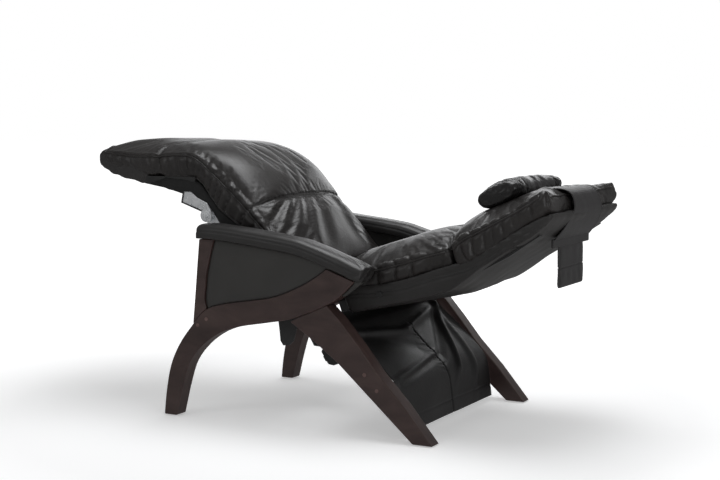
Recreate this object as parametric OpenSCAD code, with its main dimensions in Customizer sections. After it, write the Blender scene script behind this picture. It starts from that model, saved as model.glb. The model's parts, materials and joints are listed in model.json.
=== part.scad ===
// Zero gravity recliner: bentwood side frames, padded arms, and a seat, back and leg rest
// that one linear drive tilts together. The chair faces -Y and is shown reclined.

/* [Side frames] */
// Width of the chair over the outer faces of the wooden legs
frame_w = 760; // [700:1:960]
// Thickness of the bent wood
wood_t = 52; // [36:1:66]
// Thickness of the panel under each arm
panel_t = 22; // [12:1:30]
// How far the panel lies behind the outer face of the wood
panel_inset = 9; // [3:1:18]
// Height of the glides under the legs
glide_h = 3; // [2:0.5:6]
// Radius of the glides
glide_r = 11; // [8:0.5:16]

/* [Arms] */
// How far each arm stands out past the wood
arm_overhang = 20; // [0:1:40]
// Width of one arm
arm_w = 98; // [70:1:120]
// Height of an arm's edge, board and pad together
arm_h = 34; // [26:1:44]
// Thickness of the board in each arm
arm_board_t = 10; // [6:1:14]

/* [Upholstery] */
// Width of the seat and leg rest cushions
seat_w = 570; // [440:1:580]
// Width of the upper back cushion
back_w = 608; // [500:1:640]
// Length of the back, from its hinge to the head end
back_len = 802; // [660:1:980]
// Length of the leg rest, from the knee hinge to its foot end
leg_len = 436; // [360:1:540]
// Width of the head pillow
pillow_w = 390; // [300:1:480]
// Length of the head pillow along the back
pillow_l = 132; // [100:1:170]
// Thickness of the head pillow
pillow_t = 58; // [40:1:74]
// Width of the pillow's strap
strap_w = 300; // [200:1:360]
// Width of the counterweight pocket
pocket_w = 208; // [140:1:260]
// Length of the counterweight pocket
pocket_l = 122; // [90:1:150]
// Thickness of the leather in the strap
strap_t = 3; // [1.5:0.5:4]

/* [Steel] */
// Width of the seat, back and leg rest side rails
rail_w = 20; // [14:1:26]
// Height of the seat and back side rails
rail_h = 32; // [24:1:36]
// Radius of the cross tubes
tube_r = 12; // [9:0.5:15]
// Thickness of the hinge plates
plate_t = 7; // [4:0.5:9]
// Radius of the hinge pins
pin_r = 8; // [5:0.5:10]
// Radius of the bright disc on the knee hinge
disc_r = 21; // [16:0.5:26]
// Thickness of the wall of the back's outer tray
tray_t = 4; // [3:0.5:6]
// Width of the drive's channel
channel_w = 44; // [34:1:54]

/* [Motion clearances] */
// Side clearance between hinge plates that turn on each other
plate_gap = 1; // [0.5:0.1:2]
// Radial clearance of a pin in its bore
pin_fit = 0.05; // [0.02:0.01:0.1]
// Clearance that keeps upholstery off what it rests on
rest_gap = 0.3; // [0.2:0.1:0.6]

/* [Hidden] */
$fn = 48;

wood_color = "#2b1a17";
leather_color = "#1d1b1c";
panel_color = "#242322";
black_steel = "#17181a";
bright_steel = "#b9bec4";

// Side view points are [y, z]. mid_y puts the middle of the chair's length at Y = 0.
mid_y = 0.5;
seat_at = [10, 452];
seat_angle = 41;
back_at = [45, 400];
back_angle = 23;
pivot_at = [-30, 375];
knee_at = [-365, 634];

// Along and square to the seat, the back and the leg rest
function seat_pt(s, n) = [seat_at[0] - cos(seat_angle) * s + sin(seat_angle) * n,
                          seat_at[1] + sin(seat_angle) * s + cos(seat_angle) * n];
function back_pt(s, n) = [back_at[0] + cos(back_angle) * s - sin(back_angle) * n,
                          back_at[1] + sin(back_angle) * s + cos(back_angle) * n];
function leg_pt(s, n) = [knee_at[0] - s, knee_at[1] + n];
function seat_pts(list) = [for (p = list) seat_pt(p[0], p[1])];
function back_pts(list) = [for (p = list) back_pt(p[0], p[1])];
function leg_pts(list) = [for (p = list) leg_pt(p[0], p[1])];
function lifted(list, h) = [for (p = list) [p[0], p[1] + h]];
function reversed(list) = [for (i = [len(list) - 1 : -1 : 0]) list[i]];

// A smooth curve through the points, with a few short steps between each two
steps = 4;
function at(list, i) = list[min(max(i, 0), len(list) - 1)];
function bend(a, b, c, d, t) = 0.5 * (2 * b + (c - a) * t + (2 * a - 5 * b + 4 * c - d) * t * t
    + (3 * b - a - 3 * c + d) * t * t * t);
function smooth(list) = [for (i = [0 : len(list) - 2]) for (k = [0 : steps - 1])
    bend(at(list, i - 1), list[i], list[i + 1], at(list, i + 2), k / steps), list[len(list) - 1]];

// Positions across the chair, from the middle outwards
wood_x1 = frame_w / 2;
wood_x0 = wood_x1 - wood_t;
arm_x1 = wood_x1 + arm_overhang;
arm_x0 = arm_x1 - arm_w;
lumbar_w = seat_w + 10;
seat_x = seat_w / 2;
knee_x1 = seat_x - 2;
knee_x0 = knee_x1 - plate_t;
seat_rail_x1 = knee_x0 - plate_gap;
seat_rail_x0 = seat_rail_x1 - rail_w;
leg_rail_x1 = knee_x0;
leg_rail_x0 = leg_rail_x1 - rail_w / 2;
hanger_x0 = seat_rail_x1;
hanger_x1 = hanger_x0 + plate_t;
back_plate_x1 = hanger_x0 - plate_gap;
back_plate_x0 = back_plate_x1 - plate_t;
back_rail_x1 = back_plate_x0;
back_rail_x0 = back_rail_x1 - rail_w;
tray_x1 = back_w / 2 - 8;
tray_x0 = tray_x1 - tray_t;

// Heights in the seat's, the back's and the leg rest's own directions
seat_low = -50;
sling_t = 3;
seat_rail_top = seat_low - rest_gap - sling_t;
leg_low = 124;
leg_rail_top = leg_low - rest_gap - sling_t;
strap_low = 46.5;
lumbar_end = 468;
seat_joint_gap = 0.6;

// Wooden outlines
rail_outer = [[-471, glide_h], [-462, 80], [-444, 162], [-412, 229], [-369, 286], [-311, 347],
    [-235, 371], [-144, 386], [-53, 404], [37, 442], [90, 473], [123, 497]];
rail_inner = [[-424, glide_h], [-398, 102], [-370, 178], [-320, 236], [-256, 279], [-181, 304],
    [-85, 322], [10, 342], [118, 386], [168, 417], [217, 464]];
rear_outline = [[-2, 332], [118, 395], [168, 348], [232, 276], [295, 199], [378, 113],
    [471, glide_h], [408, glide_h], [253, 140], [159, 222], [81, 278]];
post_outline = [[-358, 290], [-344, 439], [-331, 568], [-278, 569], [-290, 520], [-306, 457],
    [-314, 378], [-305, 345], [-320, 320]];
arm_low = [[-334, 569], [-267, 569], [-132, 556], [-25, 543], [44, 530], [146, 498], [240, 463]];
arm_bottom = smooth(arm_low);

module slab(x0, x1, pts) {
    translate([x0, -mid_y, 0]) rotate([90, 0, 90]) linear_extrude(x1 - x0) polygon(pts);
}
module rod(x0, x1, p, r) {
    translate([x0, p[0] - mid_y, p[1]]) rotate([0, 90, 0]) cylinder(r = r, h = x1 - x0);
}
module on_side(side) {
    if (side > 0) children();
    else mirror([1, 0, 0]) children();
}
module both_sides() {
    children();
    mirror([1, 0, 0]) children();
}

// ---- Wooden side frames ----
module rail_shape() polygon(concat(smooth(rail_outer), reversed(smooth(rail_inner))));
module post_shape() {
    difference() {
        polygon(post_outline);
        rail_shape();
    }
}
module upright(x0, x1) {
    translate([x0, -mid_y, 0]) rotate([90, 0, 90]) linear_extrude(x1 - x0) children();
}
module side_rail(side) color(wood_color) on_side(side) upright(wood_x0, wood_x1) rail_shape();
module rear_leg(side) {
    color(wood_color) on_side(side) upright(wood_x0, wood_x1) difference() {
        polygon(rear_outline);
        rail_shape();
    }
}
module arm_post(side) color(wood_color) on_side(side) upright(wood_x0, wood_x1) post_shape();
module side_panel(side) {
    panel_x1 = wood_x1 - panel_inset;
    color(panel_color) on_side(side) upright(panel_x1 - panel_t, panel_x1) difference() {
        polygon(concat([[-340, 310]], [[-340, 568]], lifted(arm_bottom, -rest_gap), [[130, 380]]));
        polygon([[-400, 200], [-400, 600], [-331, 568], [-278, 569], [-290, 520], [-306, 457],
            [-314, 378], [-305, 345]]);
        rail_shape();
        translate([0, -60]) rail_shape();
    }
}
module foot_glides() {
    color(black_steel) both_sides() for (y = [-448, 439])
        translate([(wood_x0 + wood_x1) / 2, y - mid_y, 0]) cylinder(r = glide_r, h = glide_h);
}
module bolt_plugs() {
    plug_r = 6;
    plug_h = 1;
    color(wood_color) both_sides() for (p = [[-338, 298], [-306, 319], [252, 193], [293, 149]])
        rod(wood_x1, wood_x1 + plug_h, p, plug_r);
}

// ---- Arms ----
module arm_board(side) {
    board_inset = 6;
    color(black_steel) on_side(side) slab(arm_x0 + board_inset, arm_x1 - board_inset,
        concat(arm_bottom, reversed(lifted(arm_bottom, arm_board_t))));
}
module arm_pad(side) {
    crown = 8;
    color(leather_color) on_side(side) slab(arm_x0, arm_x1,
        concat(lifted(arm_bottom, arm_board_t + rest_gap), reversed(lifted(arm_bottom, arm_h + crown))));
}

// ---- Steel of the base ----
front_bar_at = [-150, 342];
rear_bar_at = [130, 318];
module front_crossbar() color(black_steel) rod(-wood_x0, wood_x0, front_bar_at, tube_r);
module rear_crossbar() color(black_steel) rod(-wood_x0, wood_x0, rear_bar_at, tube_r);
module crossbar_flanges() {
    flange_t = 5;
    color(black_steel) both_sides() for (p = [front_bar_at, rear_bar_at]) difference() {
        rod(wood_x0 - flange_t, wood_x0, p, tube_r * 1.9);
        rod(wood_x0 - flange_t - 1, wood_x0 + 1, p, tube_r);
    }
}
module pivot_plate(side) {
    color(black_steel) on_side(side) difference() {
        slab(wood_x0 - plate_t, wood_x0, [[-85, 385], [-50, 400], [-5, 408], [30, 400], [30, 360], [0, 345],
            [-12, 300], [-22, 264], [-38, 250], [-58, 248], [-68, 262], [-72, 300]]);
        rod(wood_x0 - plate_t - 1, wood_x0 + 1, pivot_at, pin_r);
    }
}
module pivot_pins() {
    collar_w = wood_x0 - plate_t - hanger_x1 - plate_gap;
    color(bright_steel) both_sides() {
        rod(hanger_x0 + plate_gap, wood_x0, pivot_at, pin_r);
        rod(hanger_x1 + plate_gap, hanger_x1 + plate_gap + collar_w, pivot_at, pin_r + 5);
    }
}

// ---- Drive ----
drive_angle = 34;
drive_at = [-15, 214];
channel_len = 142;
channel_h = 22;
motor_len = 86;
crank_tip = [-12, 292];
ear_t = 6;
crank_t = 10;
function drive_pt(s, n) = [drive_at[0] + cos(drive_angle) * s - sin(drive_angle) * n,
                           drive_at[1] + sin(drive_angle) * s + cos(drive_angle) * n];
function drive_pts(list) = [for (p = list) drive_pt(p[0], p[1])];
bracket_x0 = channel_w / 2 + 10;
module motor_bracket() {
    color(black_steel) both_sides() difference() {
        slab(bracket_x0, bracket_x0 + plate_t, [[-172, 330], [-168, 358], [-132, 358], [-124, 318],
            [-98, 262], [-44, 240], [-36, 206], [-60, 196], [-118, 200], [-150, 252]]);
        rod(bracket_x0 - 1, bracket_x0 + plate_t + 1, front_bar_at, tube_r);
    }
}
module recline_motor() {
    body = drive_pts([[0, -24], [0, 22], [-14, 30], [-64, 30], [-motor_len, 18], [-motor_len, -30], [-70, -44],
        [-12, -44]]);
    color(black_steel) slab(-bracket_x0, bracket_x0, body);
}
module power_inlet() {
    back = -motor_len;
    color(black_steel) difference() {
        slab(-14, 14, drive_pts([[back - 12, -16], [back, -16], [back, 4], [back - 12, 4]]));
        slab(-10, 10, drive_pts([[back - 13, -12], [back - 4, -12], [back - 4, 0], [back - 13, 0]]));
    }
}
module recline_channel() {
    wall = 4;
    color(bright_steel) difference() {
        slab(-channel_w / 2, channel_w / 2,
            drive_pts([[0, -channel_h / 2], [channel_len, -channel_h / 2],
                [channel_len, channel_h / 2], [0, channel_h / 2]]));
        slab(-channel_w / 2 + wall, channel_w / 2 - wall,
            drive_pts([[wall, wall - channel_h / 2], [channel_len - wall, wall - channel_h / 2],
                [channel_len - wall, channel_h], [wall, channel_h]]));
        rod(-channel_w, channel_w, rear_bar_at, tube_r + rest_gap);
    }
}
module recline_slider() {
    shoe = channel_w / 2 - 4 - 1;
    ear_x0 = crank_t / 2 + 3;
    color(bright_steel) {
        slab(-shoe, shoe, drive_pts([[18, -6], [62, -6], [62, 20], [18, 20]]));
        both_sides() slab(ear_x0, ear_x0 + ear_t,
            drive_pts([[24, 20], [56, 20], [58, 60], [52, 72], [38, 74], [30, 66]]));
    }
}

// ---- Skirt ----
skirt_t = 4;
skirt_w = 600;
skirt_line = [[62, 337], [100, 335],
    rear_bar_at + [1, tube_r + rest_gap], [150, 326], [168, 312], [212, 268], [290, 200],
    [332, 150], [346, 100], [356, 16]];
skirt_step = [skirt_t * 0.7, skirt_t * 0.7];
module skirt() {
    line = smooth(skirt_line);
    color(leather_color) slab(-skirt_w / 2, skirt_w / 2,
        concat(line, reversed([for (p = line) p + skirt_step])));
}

// ---- Seat ----
module hanger(side) {
    color(black_steel) on_side(side) difference() {
        slab(hanger_x0, hanger_x1, seat_pts([[90, seat_rail_top - 8], [90, seat_rail_top - rail_h],
            [10, -106], [-30, -108], [-46, -92], [-78, -20], [-74, -6], [-57, 0], [-46, -8], [-10, -58]]));
        rod(hanger_x0 - 1, hanger_x1 + 1, pivot_at, pin_r + pin_fit);
        rod(hanger_x0 - 1, hanger_x1 + 1, back_at, pin_r);
    }
}
module torque_tube() color(black_steel) rod(-hanger_x0, hanger_x0, pivot_at, tube_r + 2);
module crank() {
    color(black_steel) difference() {
        union() {
            rod(-crank_t / 2, crank_t / 2, pivot_at, tube_r + 12);
            slab(-crank_t / 2, crank_t / 2, [[-52, 366], [-24, 284], [-12, 280], [-1, 286], [-8, 368]]);
        }
        rod(-crank_t, crank_t, pivot_at, tube_r + 2);
        rod(-crank_t, crank_t, crank_tip, pin_r - 2);
    }
}
seat_rail_end = 440;
module seat_rail(side) {
    color(black_steel) on_side(side) slab(seat_rail_x0, seat_rail_x1, seat_pts([
        [10, seat_rail_top], [seat_rail_end, seat_rail_top],
        [seat_rail_end, seat_rail_top - rail_h + 8], [seat_rail_end - 10, seat_rail_top - rail_h],
        [10, seat_rail_top - rail_h]]));
}
module seat_cross_tubes() {
    color(black_steel) for (s = [60, 400])
        rod(-seat_rail_x0, seat_rail_x0, seat_pt(s, seat_rail_top - rail_h / 2), tube_r);
}
module seat_sling() {
    color(black_steel) slab(-seat_rail_x1, seat_rail_x1, seat_pts([[12, seat_rail_top],
        [seat_rail_end, seat_rail_top], [seat_rail_end, seat_rail_top + sling_t],
        [12, seat_rail_top + sling_t]]));
}
module seat_cushion() {
    color(leather_color) slab(-seat_x, seat_x, seat_pts([[6, seat_low], [486, seat_low + 3],
        [538, 0], [563, 30], [534, 66], [484, 98], [430, 112], [370, 112], [315, 100], [255, 84],
        [183, 68], [100, 52], [30, 36], [8, 22]]));
}
module knee_plate(side) {
    low = seat_rail_top - rail_h;
    color(bright_steel) on_side(side) difference() {
        slab(seat_rail_x1 - plate_t, seat_rail_x1, seat_pts([[250, low], [250, low - 12],
            [380, -128], [402, -134], [424, -124], [430, low]]));
        rod(seat_rail_x1 - plate_t - 1, seat_rail_x1 + 1, knee_at, pin_r);
    }
}
module knee_pins() {
    disc_t = 5;
    nut_t = 6;
    nut_x = seat_rail_x1 - plate_t;
    color(bright_steel) both_sides() {
        rod(nut_x, knee_x1 + plate_gap, knee_at, pin_r);
        rod(knee_x1 + plate_gap, knee_x1 + plate_gap + disc_t, knee_at, disc_r);
        rod(nut_x - nut_t, nut_x, knee_at, pin_r + 5);
        rod(knee_x1 + plate_gap + disc_t, knee_x1 + plate_gap + disc_t + 2, knee_at, pin_r);
    }
}
module back_hinge_pins() {
    head_t = 4;
    color(bright_steel) both_sides() {
        rod(back_plate_x0 + 1, hanger_x1, back_at, pin_r);
        rod(hanger_x1, hanger_x1 + head_t, back_at, pin_r + 4);
    }
}

// ---- Leg rest ----
module leg_bracket(side) {
    color(bright_steel) on_side(side) difference() {
        slab(knee_x0, knee_x1, leg_pts([[97, 39], [90, 73], [64, 73], [40, 55], [3, 40], [-14, 14],
            [-15, -6], [-4, -17], [10, -15], [20, 6], [26, 19]]));
        rod(knee_x0 - 1, knee_x1 + 1, knee_at, pin_r + pin_fit);
    }
}
module leg_rail(side) {
    color(black_steel) on_side(side) slab(leg_rail_x0, leg_rail_x1, leg_pts([[52, leg_rail_top],
        [52, 74], [66, 66], [96, 68], [162, 82], [leg_rail_len, 96], [leg_rail_len, leg_rail_top]]));
}
leg_rail_len = 250;
module leg_cross_tubes() {
    color(black_steel) for (p = [[80, 92], [leg_rail_len - 20, leg_rail_top - tube_r]])
        rod(-leg_rail_x0, leg_rail_x0, leg_pt(p[0], p[1]), tube_r);
}
module leg_sling() {
    color(black_steel) slab(-leg_rail_x1, leg_rail_x1, leg_pts([[52, leg_rail_top],
        [leg_len - 60, leg_rail_top], [leg_len - 60, leg_rail_top + sling_t],
        [52, leg_rail_top + sling_t]]));
}
module leg_cushion() {
    color(leather_color) slab(-seat_x, seat_x, leg_pts([[26, leg_low], [38, 216], [120, 220],
        [leg_len - 60, 220], [leg_len - 22, 212], [leg_len - 4, 196], [leg_len, 182],
        [leg_len, 170], [leg_len - 16, 150], [leg_len - 46, 134], [leg_len - 90, leg_low]]));
}
module foot_boot() {
    top = leg_rail_top - rest_gap;
    color(leather_color) slab(-seat_x, seat_x, leg_pts([[leg_rail_len + 2, top],
        [leg_rail_len + 2, 96], [leg_len - 158, 99], [leg_len - 100, 107], [leg_len - 68, top]]));
}

// ---- Back ----
back_line = [[24, -8], [100, -32], [250, -76], [400, -95], [490, -98], [back_len - 182, -85],
    [back_len - 72, -64]];
cushion_low = [[0, 24], [60, 18], [104, -8], [159, -34], [247, -48], [295, -56], [360, -60],
    [424, -67], [503, -76], [back_len - 190, -62], [back_len - 87, -41], [back_len - 32, -40],
    [back_len - 6, -38]];
cushion_high = [[-4, 50], [20, 62], [66, 73], [120, 75], [191, 71], [290, 60], [430, 46],
    [back_len - 62, 46], [back_len - 28, 38], [back_len - 6, 24], [back_len, 6], [back_len, -20]];
tray_low = [[84, -76], [94, -90], [200, -112], [322, -137], [417, -147], [494, -154], [540, -148],
    [589, -136], [back_len - 158, -116], [back_len - 99, -97], [back_len - 46, -73], [back_len - 6, -42]];
function below(list, s) = [for (p = list) if (p[0] < s) p];
function above(list, s) = [for (p = list) if (p[0] > s) p];
function height_at(list, s) = lookup(s, list);

module back_bracket(side) {
    color(black_steel) on_side(side) difference() {
        slab(back_plate_x0, back_plate_x1, back_pts([[-14, -10], [-8, 12], [8, 15], [40, 6],
            [100, -14], [100, -46], [30, -30], [2, -18]]));
        rod(back_plate_x0 - 1, back_plate_x1 + 1, back_at, pin_r + pin_fit);
    }
}
module back_rail(side) {
    half = rail_h / 2;
    color(black_steel) on_side(side) slab(back_rail_x0, back_rail_x1, back_pts(concat(
        lifted(back_line, half - 2), reversed(lifted(back_line, -half)))));
}
module back_cross_tubes() {
    color(black_steel) for (s = [120, 490, back_len - 90])
        rod(-back_rail_x0, back_rail_x0, back_pt(s, height_at(back_line, s)), tube_r);
}
module tray_spacers() {
    half = 9;
    color(black_steel) both_sides() for (s = [200, 440, back_len - 150])
        let (n = height_at(back_line, s)) slab(back_rail_x1, tray_x0, back_pts([[s - half, n - half],
            [s + half, n - half], [s + half, n + half - 4], [s - half, n + half - 4]]));
}
module back_tray() {
    rim = lifted(above(cushion_low, 84), -rest_gap);
    color(leather_color) difference() {
        slab(-tray_x1, tray_x1, back_pts(concat([[84, -20]], rim, reversed(tray_low))));
        slab(-tray_x0, tray_x0, back_pts(concat([[60, 60], [60, -72 + tray_t]],
            [for (p = tray_low) [min(p[0], back_len - 10 - tray_t), p[1] + tray_t]],
            [[back_len - 10 - tray_t, 60]])));
    }
}
module lumbar_cushion() {
    color(leather_color) slab(-lumbar_w / 2, lumbar_w / 2, back_pts(concat(
        below(cushion_low, lumbar_end), [[lumbar_end, height_at(cushion_low, lumbar_end)]],
        [[lumbar_end, height_at(cushion_high, lumbar_end)]], reversed(below(cushion_high, lumbar_end)))));
}
module upper_cushion() {
    start = lumbar_end + seat_joint_gap;
    color(leather_color) slab(-back_w / 2, back_w / 2, back_pts(concat(
        [[start, height_at(cushion_low, start)]], above(cushion_low, start),
        reversed(above(cushion_high, start)), [[start, height_at(cushion_high, start)]])));
}

// ---- Head pillow, its strap and counterweight ----
pillow_start = back_len - 242;
module head_strap() {
    line = [[pillow_start + 20, strap_low], [back_len - 61, strap_low],
        [back_len - 25, strap_low - 6], [back_len - 2, 27], [back_len + 4, 8], [back_len + 4, -22],
        [back_len - 3, -45], [back_len - 44, -77], [back_len - 80, -93.5]];
    outer = [[pillow_start + 20, strap_low + strap_t], [back_len - 60, strap_low + strap_t],
        [back_len - 23, strap_low + strap_t - 6.5], [back_len + strap_t - 2, 29], [back_len + 4 + strap_t, 9],
        [back_len + 4 + strap_t, -23], [back_len, -48], [back_len - 42, -77 - strap_t],
        [back_len - 79, -93.5 - strap_t]];
    color(leather_color) slab(-strap_w / 2, strap_w / 2, back_pts(concat(line, reversed(outer))));
}
module head_pillow() {
    low = strap_low + strap_t + rest_gap;
    color(leather_color) slab(-pillow_w / 2, pillow_w / 2, back_pts([for (a = [0 : 15 : 345])
        [pillow_start + pillow_l / 2 * (1 + sign(cos(a)) * pow(abs(cos(a)), 0.7)),
         low + pillow_t / 2 * (1 + sign(sin(a)) * pow(abs(sin(a)), 0.7))]]));
}
band_top = back_pt(back_len - 79, -93.5 - strap_t) - [0, rest_gap];
band_h = 26;
band_t = 8;
module strap_band() {
    color(leather_color) slab(-strap_w / 2 - 4, strap_w / 2 + 4, [band_top + [-band_t, 0],
        band_top + [0, 0], band_top + [0, -band_h], band_top + [-band_t, -band_h]]);
}
module weight_pocket() {
    pocket_t = 12;
    top = band_top - [band_t / 2, band_h + rest_gap];
    color(leather_color) slab(-pocket_w / 2, pocket_w / 2, [top + [-0.3, 0], top + [0.3, 0],
        top + [2, -3], top + [pocket_t / 2, -14], top + [pocket_t / 2, -pocket_l + 4], top + [3, -pocket_l],
        top + [-3, -pocket_l], top + [-pocket_t / 2, -pocket_l + 4], top + [-pocket_t / 2, -14], top + [-2, -3]]);
}

side_rail(1);  // left_side_rail
side_rail(-1);  // right_side_rail
rear_leg(1);  // left_rear_leg
rear_leg(-1);  // right_rear_leg
arm_post(1);  // left_arm_post
arm_post(-1);  // right_arm_post
side_panel(1);  // left_side_panel
side_panel(-1);  // right_side_panel
arm_board(1);  // left_arm_board
arm_board(-1);  // right_arm_board
arm_pad(1);  // left_arm_pad
arm_pad(-1);  // right_arm_pad
foot_glides();
bolt_plugs();
front_crossbar();
rear_crossbar();
crossbar_flanges();
pivot_plate(1);  // left_pivot_plate
pivot_plate(-1);  // right_pivot_plate
pivot_pins();
motor_bracket();
recline_motor();
power_inlet();
recline_channel();
recline_slider();
skirt();
hanger(1);  // left_hanger
hanger(-1);  // right_hanger
torque_tube();
crank();
seat_rail(1);  // left_seat_rail
seat_rail(-1);  // right_seat_rail
seat_cross_tubes();
seat_sling();
seat_cushion();
knee_plate(1);  // left_knee_plate
knee_plate(-1);  // right_knee_plate
knee_pins();
back_hinge_pins();
leg_bracket(1);  // left_leg_bracket
leg_bracket(-1);  // right_leg_bracket
leg_rail(1);  // left_leg_rail
leg_rail(-1);  // right_leg_rail
leg_cross_tubes();
leg_sling();
leg_cushion();
foot_boot();
back_bracket(1);  // left_back_bracket
back_bracket(-1);  // right_back_bracket
back_rail(1);  // left_back_rail
back_rail(-1);  // right_back_rail
back_cross_tubes();
tray_spacers();
back_tray();
lumbar_cushion();
upper_cushion();
head_strap();
head_pillow();
strap_band();
weight_pocket();
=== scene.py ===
import json
import math

import bmesh
import bpy
import numpy as np
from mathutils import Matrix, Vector
from mathutils.bvhtree import BVHTree

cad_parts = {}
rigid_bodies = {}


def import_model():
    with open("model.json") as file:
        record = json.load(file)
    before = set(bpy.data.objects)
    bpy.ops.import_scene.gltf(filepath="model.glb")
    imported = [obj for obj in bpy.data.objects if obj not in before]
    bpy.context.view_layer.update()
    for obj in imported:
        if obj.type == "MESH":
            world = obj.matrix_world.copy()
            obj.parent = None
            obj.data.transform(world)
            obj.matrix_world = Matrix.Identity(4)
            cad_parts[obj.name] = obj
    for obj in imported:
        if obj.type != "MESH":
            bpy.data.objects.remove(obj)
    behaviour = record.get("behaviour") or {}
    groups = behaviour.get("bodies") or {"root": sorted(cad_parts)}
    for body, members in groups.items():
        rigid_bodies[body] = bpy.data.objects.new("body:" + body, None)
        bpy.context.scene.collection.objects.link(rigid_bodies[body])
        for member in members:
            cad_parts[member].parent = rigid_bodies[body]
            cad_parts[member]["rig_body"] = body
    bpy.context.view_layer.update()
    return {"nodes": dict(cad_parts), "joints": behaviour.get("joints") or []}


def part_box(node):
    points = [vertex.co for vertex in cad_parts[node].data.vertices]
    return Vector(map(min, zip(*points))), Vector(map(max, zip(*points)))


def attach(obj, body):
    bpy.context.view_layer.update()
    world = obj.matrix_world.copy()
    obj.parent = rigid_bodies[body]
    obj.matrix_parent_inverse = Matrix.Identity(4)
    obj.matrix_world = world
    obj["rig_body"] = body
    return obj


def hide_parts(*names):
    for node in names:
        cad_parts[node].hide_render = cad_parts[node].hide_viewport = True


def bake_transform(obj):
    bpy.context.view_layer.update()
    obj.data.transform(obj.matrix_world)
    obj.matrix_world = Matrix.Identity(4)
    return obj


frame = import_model()
scene = bpy.context.scene
joint = {j["name"]: j for j in frame["joints"]}

# ---- Studio ----
# A pale sweep of seamless floor, one large softbox over the chair, a long strip on its far side and
# two weaker cards on the camera's side, so that the leather shows broad, soft highlights.


def plain_material(name, color, roughness):
    """A matt, even finish, as on the floor of a studio."""
    material = bpy.data.materials.new(name)
    material.use_nodes = True
    shader = material.node_tree.nodes["Principled BSDF"]
    shader.inputs["Base Color"].default_value = (*color, 1)
    shader.inputs["Roughness"].default_value = roughness
    return material


def softbox(name, at, towards, size, power):
    """A rectangular studio light."""
    light = bpy.data.lights.new(name, "AREA")
    light.shape = "RECTANGLE"
    light.size, light.size_y = size
    light.energy = power
    light.color = (0.975, 0.985, 1.0)
    lamp = bpy.data.objects.new(name, light)
    lamp.location = at
    lamp.rotation_euler = (Vector(towards) - Vector(at)).to_track_quat("-Z", "Y").to_euler()
    scene.collection.objects.link(lamp)


floor_mesh = bpy.data.meshes.new("studio_floor")
floor_reach = 40
floor_corners = [(x * floor_reach, y * floor_reach, 0) for x, y in ((-1, -1), (1, -1), (1, 1), (-1, 1))]
floor_mesh.from_pydata(floor_corners, [], [(0, 1, 2, 3)])
floor = bpy.data.objects.new("studio_floor", floor_mesh)
pale_floor = plain_material("pale_floor", (0.9, 0.9, 0.9), 0.9)
floor_glow = pale_floor.node_tree.nodes["Principled BSDF"].inputs
floor_glow["Specular IOR Level"].default_value = 0.0
floor_glow["Emission Color"].default_value = (1, 1, 1, 1)
glow_tree = pale_floor.node_tree
from_middle = glow_tree.nodes.new("ShaderNodeVectorMath")
from_middle.operation = "LENGTH"
glow_tree.links.new(glow_tree.nodes.new("ShaderNodeTexCoord").outputs["Object"], from_middle.inputs[0])
fading = glow_tree.nodes.new("ShaderNodeMapRange")
for label, value in (("From Min", 1.1), ("From Max", 3.2), ("To Min", 0.36), ("To Max", 1.0)):
    fading.inputs[label].default_value = value
glow_tree.links.new(from_middle.outputs["Value"], fading.inputs["Value"])
glow_tree.links.new(fading.outputs["Result"], floor_glow["Emission Strength"])
floor.visible_glossy = False
floor_mesh.materials.append(pale_floor)
scene.collection.objects.link(floor)

middle = (0, 0, 0.5)
softbox("top_softbox", (-0.2, 0.2, 2.9), middle, (2.2, 1.3), 46)
softbox("far_strip", (-3.2, -1.0, 1.6), middle, (3.4, 1.0), 22)
softbox("side_card", (3.0, -1.3, 2.5), middle, (1.0, 1.4), 9)
softbox("head_card", (2.4, 3.4, 1.1), middle, (1.4, 1.2), 18)
scene.world = bpy.data.worlds.new("studio")
scene.world.use_nodes = True
sky = scene.world.node_tree
fill = sky.nodes["Background"]
fill.inputs["Color"].default_value = (1, 1, 1, 1)
fill.inputs["Strength"].default_value = 0.21
backdrop = sky.nodes.new("ShaderNodeBackground")
backdrop.inputs["Color"].default_value = (1, 1, 1, 1)
seen = sky.nodes.new("ShaderNodeMixShader")
sky.links.new(sky.nodes.new("ShaderNodeLightPath").outputs["Is Camera Ray"], seen.inputs["Fac"])
sky.links.new(fill.outputs[0], seen.inputs[1])
sky.links.new(backdrop.outputs[0], seen.inputs[2])
sky.links.new(seen.outputs[0], sky.nodes["World Output"].inputs["Surface"])
scene.view_settings.view_transform = "Standard"

camera_azimuth, camera_pitch = math.radians(118.41), math.radians(5.06)
camera = bpy.data.objects.new("camera", bpy.data.cameras.new("camera"))
camera.data.lens = 68.35
camera.location = (3.857, 2.118, 0.9386)
camera_back = Vector((math.sin(camera_azimuth) * math.cos(camera_pitch),
                      -math.cos(camera_azimuth) * math.cos(camera_pitch), math.sin(camera_pitch)))
camera.rotation_euler = (-camera_back).to_track_quat("-Z", "Y").to_euler()
scene.collection.objects.link(camera)
scene.camera = camera

# ---- Wooden side frames ----
# Each side is laminated beech, bent in a press, shaped with softly rounded edges and stained a
# dark espresso under a satin lacquer. Turned plugs cover the four bolts in each side.


def baked(piece):
    """Turns what the modifiers make into the piece's own plain mesh."""
    graph = bpy.context.evaluated_depsgraph_get()
    mesh = bpy.data.meshes.new_from_object(piece.evaluated_get(graph))
    piece.modifiers.clear()
    piece.data = mesh
    return piece


def smooth_shaded(piece):
    piece.data.polygons.foreach_set("use_smooth", [True] * len(piece.data.polygons))


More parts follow.
